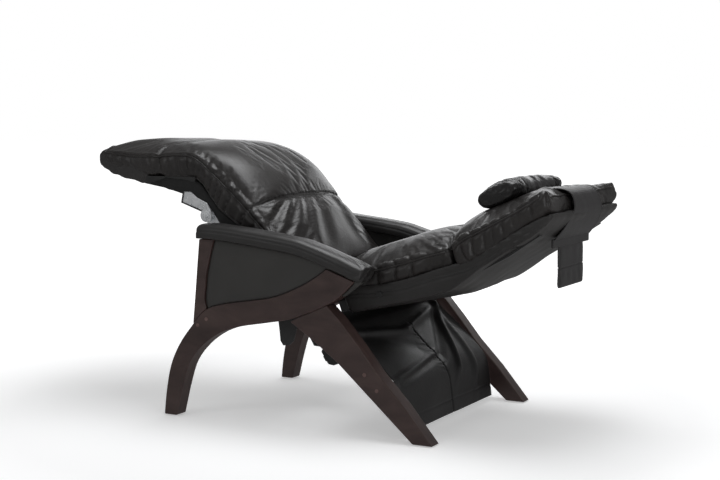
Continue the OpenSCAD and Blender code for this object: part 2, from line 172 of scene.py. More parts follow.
def rounded_copy(node, width, material, segments=3, sharp=35):
    """A copy of a rigid CAD node with its edges broken, as a finished part has them."""
    source = frame["nodes"][node]
    form = bmesh.new()
    form.from_mesh(source.data)
    bmesh.ops.remove_doubles(form, verts=form.verts, dist=1e-5)
    bmesh.ops.dissolve_limit(form, angle_limit=math.radians(0.4), verts=form.verts, edges=form.edges)
    mesh = bpy.data.meshes.new(node + "_finished")
    form.to_mesh(mesh)
    form.free()
    piece = bpy.data.objects.new(node + "_finished", mesh)
    scene.collection.objects.link(piece)
    edge = piece.modifiers.new("broken edges", "BEVEL")
    edge.width = width
    edge.segments = segments
    edge.limit_method = "ANGLE"
    edge.angle_limit = math.radians(sharp)
    edge.use_clamp_overlap = True
    edge.harden_normals = False
    piece.modifiers.new("flats", "WEIGHTED_NORMAL").keep_sharp = True
    smooth_shaded(piece)
    baked(piece)
    piece.data.materials.clear()
    piece.data.materials.append(material)
    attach(piece, source["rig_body"])
    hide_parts(node)
    return piece


def surface(name, roughness, metallic=0.0):
    """A new material, its node tree, its shader and the piece's own coordinates."""
    material = bpy.data.materials.new(name)
    material.use_nodes = True
    tree = material.node_tree
    shader = tree.nodes["Principled BSDF"]
    shader.inputs["Roughness"].default_value = roughness
    shader.inputs["Metallic"].default_value = metallic
    return material, tree, shader, tree.nodes.new("ShaderNodeTexCoord").outputs["Object"]


def textured(tree, kind, where, **settings):
    """A texture node that reads the coordinates, with its inputs set by name."""
    node = tree.nodes.new(kind)
    tree.links.new(where, node.inputs["Vector"])
    for key, value in settings.items():
        node.inputs[key.replace("_", " ")].default_value = value
    return node


def stretched(tree, where, scale):
    """The coordinates, stretched so that a pattern runs along one way."""
    node = tree.nodes.new("ShaderNodeMapping")
    tree.links.new(where, node.inputs["Vector"])
    node.inputs["Scale"].default_value = scale
    return node.outputs["Vector"]


def ramp(tree, factor, *stops):
    """A colour ramp with the given (position, colour) stops."""
    node = tree.nodes.new("ShaderNodeValToRGB")
    tree.links.new(factor, node.inputs["Fac"])
    stops = [(place, (*color, 1)) for place, color in stops]
    for element, (place, color) in zip(node.color_ramp.elements, (stops[0], stops[-1])):
        element.position, element.color = place, color
    for place, color in stops[1:-1]:
        node.color_ramp.elements.new(place).color = color
    return node.outputs["Color"]


def bumped(tree, shader, height, strength, depth, under=None):
    """Adds a bump from a height, over an earlier bump if there is one."""
    node = tree.nodes.new("ShaderNodeBump")
    node.inputs["Strength"].default_value = strength
    node.inputs["Distance"].default_value = depth
    tree.links.new(height, node.inputs["Height"])
    if under is not None:
        tree.links.new(under, node.inputs["Normal"])
    tree.links.new(node.outputs["Normal"], shader.inputs["Normal"])
    return node.outputs["Normal"]


def grey(value):
    return (value, value, value)


def stained_wood(name, lift=1.0):
    """Dark stain over straight beech grain, with fine pores and a satin lacquer."""
    material, tree, shader, here = surface(name, 0.36)
    along = stretched(tree, here, (38, 3.2, 9))
    grain = textured(tree, "ShaderNodeTexNoise", along, Scale=1.6, Detail=7, Roughness=0.62, Distortion=0.6)
    stain = np.array([(0.027, 0.0145, 0.0128), (0.046, 0.0265, 0.0235), (0.065, 0.040, 0.035)]) * lift
    tone = ramp(tree, grain.outputs["Fac"], (0.28, stain[0]), (0.55, stain[1]), (0.8, stain[2]))
    tree.links.new(tone, shader.inputs["Base Color"])
    pores = textured(tree, "ShaderNodeTexNoise", stretched(tree, here, (900, 40, 160)), Scale=1.0, Detail=3)
    bumped(tree, shader, pores.outputs["Fac"], 0.25, 0.0002)
    sheen = ramp(tree, grain.outputs["Fac"], (0.2, grey(0.46)), (0.9, grey(0.36)))
    tree.links.new(sheen, shader.inputs["Roughness"])
    shader.inputs["Coat Weight"].default_value = 0.12
    shader.inputs["Coat Roughness"].default_value = 0.28
    return material


espresso_wood = stained_wood("espresso_wood")
for wooden in ("side_rail", "rear_leg", "arm_post"):
    for side in ("left_", "right_"):
        rounded_copy(side + wooden, 0.0035, espresso_wood)
rounded_copy("bolt_plugs", 0.0006, stained_wood("plug_wood", 2.4))

# ---- Steel of the base, the seat, the leg rest and the back ----
# Tubes, flats and laser-cut plates of mild steel are welded up in a jig and powder coated in satin
# black. The frames turn on one another by the pins of the hinges.


def powder_coat(name, tone):
    """Black powder coat: a fine orange peel, and a little dust in soft random patches."""
    material, tree, shader, here = surface(name, 0.42)
    cloud = textured(tree, "ShaderNodeTexNoise", here, Scale=14.0, Detail=4)
    tree.links.new(ramp(tree, cloud.outputs["Fac"], (0.3, grey(tone)), (0.75, grey(tone * 1.7))),
                   shader.inputs["Base Color"])
    peel = textured(tree, "ShaderNodeTexNoise", here, Scale=850.0, Detail=2)
    bumped(tree, shader, peel.outputs["Fac"], 0.3, 0.00025)
    return material


black_coat = powder_coat("black_powder_coat", 0.012)
coated = ["front_crossbar", "rear_crossbar", "crossbar_flanges", "motor_bracket", "torque_tube", "crank",
          "seat_cross_tubes", "leg_cross_tubes", "back_cross_tubes", "tray_spacers"]
for pair in ("pivot_plate", "hanger", "seat_rail", "leg_rail", "back_bracket", "back_rail"):
    coated += ["left_" + pair, "right_" + pair]
for node in coated:
    rounded_copy(node, 0.0009, black_coat, segments=2)

# ---- Bright hinge parts ----
# Knee plates, leg rest brackets, pins and the drive's channel are bright zinc plated steel, with a
# faint roll grain along the sheet and the soft crystal bloom of the plating.


def zinc_plate(name):
    """Bright zinc: bluish white, with roll grain and small changes of gloss."""
    material, tree, shader, here = surface(name, 0.3, metallic=0.75)
    bloom = textured(tree, "ShaderNodeTexNoise", here, Scale=45.0, Detail=5)
    tree.links.new(ramp(tree, bloom.outputs["Fac"], (0.3, (0.74, 0.76, 0.78)), (0.7, (0.90, 0.91, 0.92))),
                   shader.inputs["Base Color"])
    tree.links.new(ramp(tree, bloom.outputs["Fac"], (0.3, grey(0.24)), (0.8, grey(0.40))),
                   shader.inputs["Roughness"])
    grain = textured(tree, "ShaderNodeTexNoise", stretched(tree, here, (900, 25, 900)), Scale=1.0, Detail=2)
    bumped(tree, shader, grain.outputs["Fac"], 0.15, 0.0002)
    return material


zinc = zinc_plate("bright_zinc")
for node in ("left_knee_plate", "right_knee_plate", "left_leg_bracket", "right_leg_bracket", "knee_pins",
             "back_hinge_pins", "pivot_pins", "recline_channel"):
    rounded_copy(node, 0.0008, zinc, segments=2)

# ---- Drive and glides ----
# The linear drive's housing, its socket, the nylon slider and the glides under the legs are
# moulded in black plastic with a fine spark texture.


def moulded(name, tone):
    """Moulded plastic with a fine, even texture."""
    material, tree, shader, here = surface(name, 0.5)
    cloud = textured(tree, "ShaderNodeTexNoise", here, Scale=30.0, Detail=3)
    tree.links.new(ramp(tree, cloud.outputs["Fac"], (0.2, grey(tone)), (0.8, grey(tone * 1.4))),
                   shader.inputs["Base Color"])
    spark = textured(tree, "ShaderNodeTexVoronoi", here, Scale=1400.0)
    bumped(tree, shader, spark.outputs["Distance"], 0.25, 0.0002)
    return material


black_plastic = moulded("moulded_black", 0.016)
for node, edge in (("recline_motor", 0.004), ("power_inlet", 0.0008), ("recline_slider", 0.0012),
                   ("foot_glides", 0.0008)):
    rounded_copy(node, edge, black_plastic)

# ---- Side panels ----
# A thin foam pad on board fills each side between post, rail and arm. It is covered in matt,
# close-grained leather that is drawn over the edge and stapled behind.


def leather(name, light, dark, gloss, grain=620.0, creased=0.0012):
    """Dyed cow hide: pebbled grain, small creases, and a finish that changes a little over the hide."""
    material, tree, shader, here = surface(name, gloss)
    cloud = textured(tree, "ShaderNodeTexNoise", here, Scale=7.0, Detail=4, Roughness=0.55)
    tree.links.new(ramp(tree, cloud.outputs["Fac"], (0.3, dark), (0.72, light)), shader.inputs["Base Color"])
    tree.links.new(ramp(tree, cloud.outputs["Fac"], (0.3, grey(gloss - 0.05)), (0.7, grey(gloss + 0.06))),
                   shader.inputs["Roughness"])
    crease = textured(tree, "ShaderNodeTexNoise", here, Scale=42.0, Detail=5, Roughness=0.6, Distortion=0.9)
    under = bumped(tree, shader, crease.outputs["Fac"], 0.5, creased)
    pebble = textured(tree, "ShaderNodeTexVoronoi", here, Scale=grain)
    bumped(tree, shader, pebble.outputs["Distance"], 0.22, 0.0005, under)
    shader.inputs["Specular IOR Level"].default_value = 0.45
    shader.inputs["Coat Weight"].default_value = 0.08
    shader.inputs["Coat Roughness"].default_value = 0.36
    return material


def voxel_form(piece, voxel, relax=0, smoothing=0.5):
    """Rebuilds a closed form as an even net of small faces, and relaxes its edges."""
    net = piece.modifiers.new("net", "REMESH")
    net.mode = "VOXEL"
    net.voxel_size = voxel
    if relax:
        soften = piece.modifiers.new("relax", "SMOOTH")
        soften.iterations = relax
        soften.factor = smoothing
    baked(piece)
    smooth_shaded(piece)
    return piece


def coordinates(piece):
    found = np.zeros(len(piece.data.vertices) * 3)
    piece.data.vertices.foreach_get("co", found)
    return found.reshape(-1, 3)


def normals(piece):
    found = np.zeros(len(piece.data.vertices) * 3)
    piece.data.vertex_normals.foreach_get("vector", found)
    return found.reshape(-1, 3)


def set_coordinates(piece, points):
    piece.data.vertices.foreach_set("co", points.astype(np.float32).ravel())
    piece.data.update()


def undulate(points, size, seed):
    """Slow swells over a surface, from about -1 to 1."""
    pick = np.random.default_rng(seed)
    total = np.zeros(len(points))
    for _ in range(9):
        way = pick.normal(size=3)
        way *= 2 * np.pi / (size * pick.uniform(0.6, 1.8)) / np.linalg.norm(way)
        total += np.sin(points @ way + pick.uniform(0, 2 * np.pi))
    return total / 3.5


panel_leather = leather("panel_leather", (0.034, 0.032, 0.030), (0.026, 0.025, 0.023), 0.56, grain=760.0,
                        creased=0.0004)
panel_puff = 0.004
for side in ("left_", "right_"):
    node = side + "side_panel"
    panel = bpy.data.objects.new(node + "_pad", frame["nodes"][node].data.copy())
    scene.collection.objects.link(panel)
    weld = panel.modifiers.new("weld", "WELD")
    weld.merge_threshold = 0.00001
    voxel_form(panel, 0.0042, relax=5)
    points, facing = coordinates(panel), normals(panel)
    low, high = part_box(node)
    outwards = np.clip(facing[:, 0] * (1 if side == "left_" else -1), 0, 1)
    reach = np.clip((high.z - points[:, 2]) / 0.05, 0, 1) * np.clip((points[:, 1] - low.y) / 0.05, 0, 1)
    swell = outwards * reach * (panel_puff + 0.0008 * undulate(points, 0.12, 3))
    set_coordinates(panel, points + facing * swell[:, None])
    panel.data.materials.clear()
    panel.data.materials.append(panel_leather)
    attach(panel, "base")
    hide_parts(node)

# ---- Seams, stitches and piping ----
# A leather covered cord is caught in the edge seam of each cushion, and top stitching in heavy black
# thread runs beside the flat seams. Both follow the lines of the pieces that they are sewn to.


def node_group(name, **inputs):
    """An empty geometry tree with a geometry input and output and the named inputs."""
    tree = bpy.data.node_groups.new(name, "GeometryNodeTree")
    tree.interface.new_socket("Geometry", in_out="INPUT", socket_type="NodeSocketGeometry")
    tree.interface.new_socket("Geometry", in_out="OUTPUT", socket_type="NodeSocketGeometry")
    for label, (kind, value) in inputs.items():
        made = tree.interface.new_socket(label, in_out="INPUT", socket_type=kind)
        if value is not None:
            made.default_value = value
    return tree, tree.nodes.new("NodeGroupInput"), tree.nodes.new("NodeGroupOutput")


def chained(tree, first, *kinds):
    """Nodes in a row, each fed by the one before it."""
    made, last = [], first
    for kind in kinds:
        node = tree.nodes.new(kind)
        tree.links.new(last, node.inputs[0])
        made.append(node)
        last = node.outputs[0]
    return made


stitch_tree, given, result = node_group(
    "stitch_row", Spacing=("NodeSocketFloat", 0.006), Thread=("NodeSocketFloat", 0.0008),
    Finish=("NodeSocketMaterial", None))
_, spread = chained(stitch_tree, given.outputs["Geometry"], "GeometryNodeMeshToCurve",
                          "GeometryNodeResampleCurve")
spread.mode = "LENGTH"
stitch_tree.links.new(given.outputs["Spacing"], spread.inputs["Length"])
thread = stitch_tree.nodes.new("GeometryNodeMeshUVSphere")
thread.inputs["Segments"].default_value = 6
thread.inputs["Rings"].default_value = 4
thread.inputs["Radius"].default_value = 1.0
shaped = stitch_tree.nodes.new("GeometryNodeTransform")
stitch_tree.links.new(thread.outputs["Mesh"], shaped.inputs["Geometry"])
sizes = stitch_tree.nodes.new("ShaderNodeCombineXYZ")
half_length = stitch_tree.nodes.new("ShaderNodeMath")
half_length.operation = "MULTIPLY"
half_length.inputs[1].default_value = 0.36
stitch_tree.links.new(given.outputs["Spacing"], half_length.inputs[0])
stitch_tree.links.new(half_length.outputs[0], sizes.inputs["X"])
stitch_tree.links.new(given.outputs["Thread"], sizes.inputs["Y"])
stitch_tree.links.new(given.outputs["Thread"], sizes.inputs["Z"])
stitch_tree.links.new(sizes.outputs[0], shaped.inputs["Scale"])
placed = stitch_tree.nodes.new("GeometryNodeInstanceOnPoints")
stitch_tree.links.new(spread.outputs["Curve"], placed.inputs["Points"])
stitch_tree.links.new(shaped.outputs["Geometry"], placed.inputs["Instance"])
turned = stitch_tree.nodes.new("FunctionNodeAlignRotationToVector")
turned.axis = "X"
stitch_tree.links.new(stitch_tree.nodes.new("GeometryNodeInputTangent").outputs[0], turned.inputs["Vector"])
stitch_tree.links.new(turned.outputs["Rotation"], placed.inputs["Rotation"])
_, dressed = chained(stitch_tree, placed.outputs["Instances"], "GeometryNodeRealizeInstances",
                        "GeometryNodeSetMaterial")
stitch_tree.links.new(given.outputs["Finish"], dressed.inputs["Material"])
stitch_tree.links.new(dressed.outputs[0], result.inputs[0])

piping_tree, given, result = node_group(
    "piping", Radius=("NodeSocketFloat", 0.0024), Step=("NodeSocketFloat", 0.006),
    Finish=("NodeSocketMaterial", None))
_, spread = chained(piping_tree, given.outputs["Geometry"], "GeometryNodeMeshToCurve",
                          "GeometryNodeResampleCurve")
spread.mode = "LENGTH"
piping_tree.links.new(given.outputs["Step"], spread.inputs["Length"])
ring = piping_tree.nodes.new("GeometryNodeCurvePrimitiveCircle")
ring.inputs["Resolution"].default_value = 8
piping_tree.links.new(given.outputs["Radius"], ring.inputs["Radius"])
tube = piping_tree.nodes.new("GeometryNodeCurveToMesh")
tube.inputs["Fill Caps"].default_value = True
piping_tree.links.new(spread.outputs["Curve"], tube.inputs["Curve"])
piping_tree.links.new(ring.outputs["Curve"], tube.inputs["Profile Curve"])
_, dressed = chained(piping_tree, tube.outputs["Mesh"], "GeometryNodeRealizeInstances",
                        "GeometryNodeSetMaterial")
piping_tree.links.new(given.outputs["Finish"], dressed.inputs["Material"])
piping_tree.links.new(dressed.outputs[0], result.inputs[0])

thread_finish = moulded("black_thread", 0.02)
piping_radius = 0.0031
cushion_leather = leather("cushion_leather", (0.0195, 0.0170, 0.0160), (0.0125, 0.0110, 0.0105), 0.38)


def sewn(name, tree, lines, finish, **sizes):
    """Runs a geometry tree along lines of points and keeps the result as a plain mesh."""
    points = [tuple(p) for line in lines for p in line]
    edges, start = [], 0
    for line in lines:
        edges += [(start + i, start + i + 1) for i in range(len(line) - 1)]
        start += len(line)
    mesh = bpy.data.meshes.new(name)
    mesh.from_pydata(points, edges, [])
    piece = bpy.data.objects.new(name, mesh)
    scene.collection.objects.link(piece)
    made = piece.modifiers.new(name, "NODES")
    made.node_group = tree
    ident = {i.name: i.identifier for i in tree.interface.items_tree if i.in_out == "INPUT"}
    made[ident["Finish"]] = finish
    for label, value in sizes.items():
        made[ident[label]] = value
    piece.update_tag()
    baked(piece)
    smooth_shaded(piece)
    return piece


def laid_on(piece, line, lift=0.0):
    """The line's points moved to the nearest place on a piece, and lifted off it a little."""
    graph = bpy.context.evaluated_depsgraph_get()
    tree = BVHTree.FromObject(piece, graph)
    placed_points = []
    for p in line:
        spot, facing, _, _ = tree.find_nearest(Vector(p))
        placed_points.append(spot + facing * lift)
    return placed_points


# ---- Arms ----
# Each arm is a bent board with dense foam, wrapped in leather: a flat-sided edge band is sewn to the
# crowned top with a twin-stitched seam, and the cover is gathered round the rear end.


def spline(points, count):
    """Evenly spaced points on a smooth curve through the given points."""
    given_points = np.array(points, float)
    ends = 2 * given_points[0] - given_points[1], 2 * given_points[-1] - given_points[-2]
    ctrl = np.vstack([ends[0], given_points, ends[1]])
    t = np.linspace(0, len(given_points) - 1 - 1e-9, 60 * len(given_points))
    i = t.astype(int)
    f = (t - i)[:, None]
    a, b, c, d = ctrl[i], ctrl[i + 1], ctrl[i + 2], ctrl[i + 3]
    curve = 0.5 * (2 * b + (c - a) * f + (2 * a - 5 * b + 4 * c - d) * f ** 2
                   + (3 * b - a - 3 * c + d) * f ** 3)
    run = np.r_[0, np.cumsum(np.linalg.norm(np.diff(curve, axis=0), axis=1))]
    even = np.linspace(0, run[-1], count)
    return np.array([np.interp(even, run, curve[:, k]) for k in range(curve.shape[1])]).T


def lofted(name, rings):
    """A skin over a row of closed rings, with both ends filled."""
    count, around = len(rings), len(rings[0])
    faces = []
    for i in range(count - 1):
        for j in range(around):
            k = (j + 1) % around
            faces.append((i * around + j, (i + 1) * around + j, (i + 1) * around + k, i * around + k))
    faces.append(tuple(range(around)))
    faces.append(tuple(reversed(range((count - 1) * around, count * around))))
    mesh = bpy.data.meshes.new(name)
    mesh.from_pydata([tuple(p) for one in rings for p in one], [], faces)
    form = bmesh.new()
    form.from_mesh(mesh)
    bmesh.ops.recalc_face_normals(form, faces=form.faces)
    form.to_mesh(mesh)
    form.free()
    piece = bpy.data.objects.new(name, mesh)
    scene.collection.objects.link(piece)
    return piece


arm_leather = leather("arm_leather", (0.024, 0.0225, 0.022), (0.0175, 0.0165, 0.016), 0.40, creased=0.0007)
arm_height = 0.034
arm_crown = 0.0125
arm_seam_rows = (0.66, 0.80)
arm_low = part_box("left_arm_board")[0]
arm_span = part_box("left_arm_pad")
arm_line = spline([(arm_span[0].y + 0.004, 0.569), (arm_span[0].y + 0.067, 0.569), (-0.1325, 0.556),
                   (-0.0255, 0.543), (0.0435, 0.530), (0.1455, 0.498),
                   (arm_span[1].y - 0.004, arm_low.z + 0.0005)], 90)
arm_middle = (arm_span[0].x + arm_span[1].x) / 2
arm_half = (arm_span[1].x - arm_span[0].x) / 2


def arm_ring(at, way, pinch):
    """The arm's cross-section: flat under, straight bands at the sides and a crowned top."""
    up = np.array([-way[1], way[0]])
    ring_points = []
    for across in np.linspace(-1, 1, 25):
        rise = arm_height * 0.66 + (arm_height * 0.34 + arm_crown) * (1 - abs(across) ** 3.2) ** 0.5
        ring_points.append((across, rise))
    ring_points += [(1.0, arm_height * 0.33), (0.985, 0.002), (0.5, 0.0), (-0.5, 0.0), (-0.985, 0.002),
                    (-1.0, arm_height * 0.33)]
    lower = 0.75 + 0.25 * pinch
    return [(arm_middle + arm_half * a * pinch, *(at + up * h * lower)) for a, h in ring_points]


def waves(along, spacing, seed, octaves=4):
    """An uneven row of soft ridges, from -1 to 1, about so far apart."""
    pick = np.random.default_rng(seed)
    total, weight = np.zeros_like(along), 0.0
    for _ in range(octaves * 2):
        pitch = spacing * pick.uniform(0.6, 2.1)
        share = pick.uniform(0.5, 1.0)
        total += share * np.sin(2 * np.pi * along / pitch + pick.uniform(0, 2 * np.pi))
        weight += share
    return total / weight * 1.8


for sign, side in ((1, "left_"), (-1, "right_")):
    ways = np.gradient(arm_line, axis=0)
    ways /= np.linalg.norm(ways, axis=1)[:, None]
    rings = []
    for index, (at, way) in enumerate(zip(arm_line, ways)):
        share = index / (len(arm_line) - 1)
        pinch = 1 - 0.10 * max(0, (share - 0.9) / 0.1) ** 2 - 0.02 * max(0, (0.02 - share) / 0.02)
        rings.append(arm_ring(at, way, pinch))
    arm = lofted(side + "arm_cover", rings)
    voxel_form(arm, 0.0034, relax=4)
    points, facing = coordinates(arm), normals(arm)
    reach = np.clip((points[:, 1] - (arm_span[1].y - 0.10)) / 0.10, 0, 1) ** 1.5
    gather = waves(points[:, 0] + points[:, 2] * 0.8, 0.021, 11) * 0.0016 * reach
    points = points + facing * (gather + 0.0006 * undulate(points, 0.09, 8))[:, None]
    seam_at = np.interp(points[:, 1], arm_line[:, 0], arm_line[:, 1]) + arm_height * 0.70
    outer = np.abs(points[:, 0] - arm_middle) > arm_half - 0.008
    groove = np.exp(-((points[:, 2] - seam_at) / 0.0028) ** 2) * outer
    points -= facing * (0.0016 * groove)[:, None]
    set_coordinates(arm, points)
    arm.data.materials.append(arm_leather)
    seam_lines = []
    for x_at in (arm_middle + arm_half, arm_middle - arm_half):
        for above in arm_seam_rows:
            line = [(x_at, y, z + arm_height * above) for y, z in arm_line[2:-3]]
            seam_lines.append(laid_on(arm, line, 0.0002))
    if sign < 0:
        arm.data.transform(((-1, 0, 0, 0), (0, 1, 0, 0), (0, 0, 1, 0), (0, 0, 0, 1)))
        arm.data.flip_normals()
        seam_lines = [[(-p[0], p[1], p[2]) for p in line] for line in seam_lines]
    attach(arm, "base")
    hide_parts(side + "arm_pad", side + "arm_board")
    stitches = sewn(side + "arm_stitches", stitch_tree, seam_lines, thread_finish, Spacing=0.0045,
                    Thread=0.0005)
    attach(stitches, "base")

# ---- Seat and leg rest cushion ----
# One long cushion runs from the hips over the knees to the heels. Its crowned top and its gathered
# side walls meet in a piped edge, two cross seams draw it in, and it bends over the knee hinge.


def pad_form(name, rim, low, top, half_w, corner=0.03, puff=3.0, sections=41, keel=0.0):
    """A closed cushion. From the side, rim and low are the edges of its walls and top is its crown."""
    share = np.linspace(0, 1, len(rim))
    run = np.linalg.norm(np.diff(rim, axis=0), axis=1).sum()
    rings = []
    for across in np.sin(np.linspace(-np.pi / 2, np.pi / 2, sections)):
        over = max(0.0, (abs(across) * half_w - (half_w - corner)) / corner)
        trim = corner * (1 - math.sqrt(max(0.0, 1 - over ** 2))) / run
        pick = trim + share * (1 - 2 * trim)
        upper = rim + (top - rim) * (1 - abs(across) ** puff) ** 0.5
        under = low + keel * abs(across) ** 2.4
        ys, zs = (np.r_[np.interp(pick, share, upper[:, k]), np.interp(pick, share, under[:, k])[::-1]]
                  for k in (0, 1))
        rings.append([(across * half_w, y, z) for y, z in zip(ys, zs)])
    return lofted(name, rings)


def stuffed(piece, held, swell, pressure=3.0, slack=0.010, frames=18):
    """Fills the cover by a cloth simulation: seams are held, the hide between them swells and creases."""
    before = coordinates(piece)
    group = piece.vertex_groups.new(name="sewn")
    for index in np.nonzero(held(before))[0]:
        group.add([int(index)], 1.0, "REPLACE")
    cloth = piece.modifiers.new("cover", "CLOTH")
    settings = cloth.settings
    settings.quality = 4
    settings.mass = 0.35
    settings.tension_stiffness = settings.compression_stiffness = 18
    settings.shear_stiffness = 8
    settings.bending_stiffness = 0.6
    settings.shrink_min = -slack
    settings.vertex_group_mass = "sewn"
    settings.use_pressure = True
    settings.uniform_pressure_force = pressure
    settings.effector_weights.gravity = 0
    cloth.collision_settings.use_collision = False
    cloth.point_cache.frame_start, cloth.point_cache.frame_end = 1, frames
    for number in range(1, frames + 1):
        scene.frame_set(number)
    graph = bpy.context.evaluated_depsgraph_get()
    after = np.zeros(len(before) * 3)
    piece.evaluated_get(graph).data.vertices.foreach_get("co", after)
    moved = after.reshape(-1, 3) - before
    far = np.linalg.norm(moved, axis=1)[:, None]
    moved *= np.minimum(1, swell / np.maximum(far, 1e-9))
    piece.modifiers.clear()
    piece.vertex_groups.clear()
    scene.frame_set(1)
    set_coordinates(piece, before + moved)


def refined(piece, levels=1):
    """Halves the faces, so that fine creases and seams have room."""
    finer = piece.modifiers.new("finer", "SUBSURF")
    finer.levels = finer.render_levels = levels
    baked(piece)
    smooth_shaded(piece)


def followed(points, line):
    """For each point, how far along a side-view line its nearest place is, and how far off it lies."""
    run = np.r_[0, np.cumsum(np.linalg.norm(np.diff(line, axis=0), axis=1))]
    side_view = points[:, 1:]
    nearest = np.zeros(len(points), int)
    gap = np.full(len(points), 1e9)
    for index, place in enumerate(line):
        distance = ((side_view - place) ** 2).sum(axis=1)
        closer = distance < gap
        gap[closer], nearest[closer] = distance[closer], index
    return run[nearest], np.sqrt(gap)


def gathered(along, spacing, seed):
    """Round lobes with sharp creases between them, as in gathered leather, from -1 to 1."""
    return 2 * np.sqrt(np.abs(waves(along, spacing * 2, seed, octaves=2)).clip(0, 1)) - 1


knee = np.array(joint["leg_fold"]["pos_m"][1:])
seat_half = (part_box("seat_cushion")[1].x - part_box("seat_cushion")[0].x) / 2
foot_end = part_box("leg_cushion")[0].y - knee[0]
long_rim = knee + spline([(0.366, -0.186), (0.280, -0.104), (0.188, -0.022), (0.126, 0.038), (0.042, 0.112),
                          (-0.043, 0.176), (-0.100, 0.189), (-0.196, 0.186), (-0.276, 0.184),
                          (-0.345, 0.189), (foot_end - 0.002, 0.199)], 160)
long_low = knee + spline([(0.350, -0.206), (0.245, -0.126), (0.145, -0.046), (0.082, -0.004),
                          (0.035, 0.031), (-0.018, 0.087), (-0.050, 0.109), (-0.107, 0.117),
                          (-0.186, 0.122), (-0.276, 0.132), (-0.345, 0.143),
                          (foot_end + 0.003, 0.164)], 160)
long_top = knee + spline([(0.371, -0.180), (0.345, -0.126), (0.277, -0.030), (0.213, 0.050), (0.166, 0.106),
                          (0.123, 0.154), (0.080, 0.187), (0.030, 0.207), (-0.040, 0.218), (-0.150, 0.2245),
                          (-0.270, 0.2255), (-0.360, 0.224), (-0.410, 0.216),
                          (foot_end - 0.002, 0.202)], 160)
long_run = np.linalg.norm(np.diff(long_rim, axis=0), axis=1).sum()
cushion_net = 0.0068
long_pad = pad_form("seat_and_leg_cushion", long_rim, long_low, long_top, seat_half - 0.004, corner=0.022,
                    puff=3.2)
voxel_form(long_pad, cushion_net, relax=2)


def near_edge(points, line, half, reach):
    """True for points within reach of the piped edge at either side."""
    _, off = followed(points, line)
    return (off < reach) & (np.abs(points[:, 0]) > half - reach * 1.4)


thigh_seam, calf_seam, seam_dip = 0.298, 0.700, 0.011
held_edge, held_seam = 0.009, 0.006


def cross_seam(points, line, at, dip, half):
    """Distance along the top from a seam that runs across and dips towards the hips in the middle."""
    along, _ = followed(points, line)
    return along - (at - dip * (1 - np.abs(points[:, 0] / half) ** 5))


def long_held(points):
    on_thigh = np.abs(cross_seam(points, long_rim, thigh_seam, seam_dip, seat_half)) < held_seam
    on_calf = np.abs(cross_seam(points, long_rim, calf_seam, 0.0, seat_half)) < held_seam
    return near_edge(points, long_rim, seat_half, held_edge) | on_thigh | on_calf


stuffed(long_pad, long_held, 0.014)
refined(long_pad)
points, facing = coordinates(long_pad), normals(long_pad)
along, off = followed(points, long_rim)
wall = np.clip((np.abs(points[:, 0]) - (seat_half - 0.016)) / 0.010, 0, 1)
_, low_off = followed(points, long_low)
wall_mid = np.clip(off / 0.014, 0, 1) * np.clip(low_off / 0.010, 0, 1)
knee_pull = 0.42 + 0.58 * np.exp(-((along - 0.42) / 0.20) ** 2)
ruched = (gathered(along + 0.35 * off, 0.040, 21) * 0.0062 * knee_pull + 0.003) * wall * wall_mid
above = np.clip(facing[:, 1] * 0.65 + facing[:, 2] * 0.75, 0, 1)
seam = cross_seam(points, long_rim, thigh_seam, seam_dip, seat_half)
below = np.clip(-seam / 0.03, 0, 1) * np.clip((along - 0.02) / 0.10, 0, 1)
fan = (points[:, 0] + 0.16) / (0.20 + np.clip(-seam, 0, 1))
folds = waves(fan, 0.27, 5, octaves=2) * 0.0050 * below * above
near_rim = np.clip((np.abs(points[:, 0]) - 0.225) / 0.05, 0, 1) * above
tug = waves(along - 0.35 * np.abs(points[:, 0]), 0.110, 9, octaves=2) * 0.0005 * near_rim
calf = cross_seam(points, long_rim, calf_seam, 0.0, seat_half)
near_calf = np.exp(-(calf / 0.06) ** 2)
calf_folds = waves(points[:, 0] * 0.5 + along, 0.042, 14) * 0.0020 * near_calf * above
pinch = 0.0075 * np.exp(-(calf / 0.014) ** 2) * np.clip((np.abs(points[:, 0]) - 0.235) / 0.03, 0, 1)
groove = 0.0062 * np.exp(-(seam / 0.0055) ** 2) * above + 0.0042 * np.exp(-(calf / 0.006) ** 2) * above
edge_line = np.exp(-(off / 0.0045) ** 2) * wall * 0.0015
moved = ruched + folds + tug + calf_folds - groove - pinch - edge_line
moved += 0.0016 * undulate(points, 0.20, 4) * above
set_coordinates(long_pad, points + facing * moved[:, None])
long_pad.data.materials.append(cushion_leather)


def rim_line(line, half, out=0.0005):
    """The piped edge as 3-D points: along one side, across the end and back along the other side."""
    going = [(half + out, y, z) for y, z in line]
    end = [(x, *line[-1]) for x in np.linspace(half, -half, 60)[1:-1]]
    coming = [(-half - out, y, z) for y, z in line[::-1]]
    return going + end + coming


edges = [laid_on(long_pad, rim_line(long_rim[2:-5], seat_half - 0.004), 0.0006)]
for side in (1, -1):
    edges.append(laid_on(long_pad, [(side * seat_half, y, z) for y, z in long_low[8:104]]))
piping = sewn("seat_piping", piping_tree, edges, cushion_leather, Radius=piping_radius)
stitch_lines = []
for at, dip in ((thigh_seam - 0.007, seam_dip), (thigh_seam + 0.006, seam_dip), (calf_seam + 0.006, 0.0)):
    line = []
    run = np.linspace(0, long_run, 160)
    for x in np.linspace(-0.93, 0.93, 110) * seat_half:
        place = at - dip * (1 - abs(x / seat_half) ** 5)
        y, z = (np.interp(place, run, long_rim[:, k]) for k in (0, 1))
        index = int(np.clip(np.searchsorted(run, place), 1, 158))
        way = long_rim[index + 1] - long_rim[index - 1]
        way /= np.linalg.norm(way)
        rise = 0.09 * (1 - abs(x / seat_half) ** 2.8) ** 0.5
        line.append((x, y + way[1] * rise, z - way[0] * rise))
    stitch_lines.append(laid_on(long_pad, line, 0.0003))
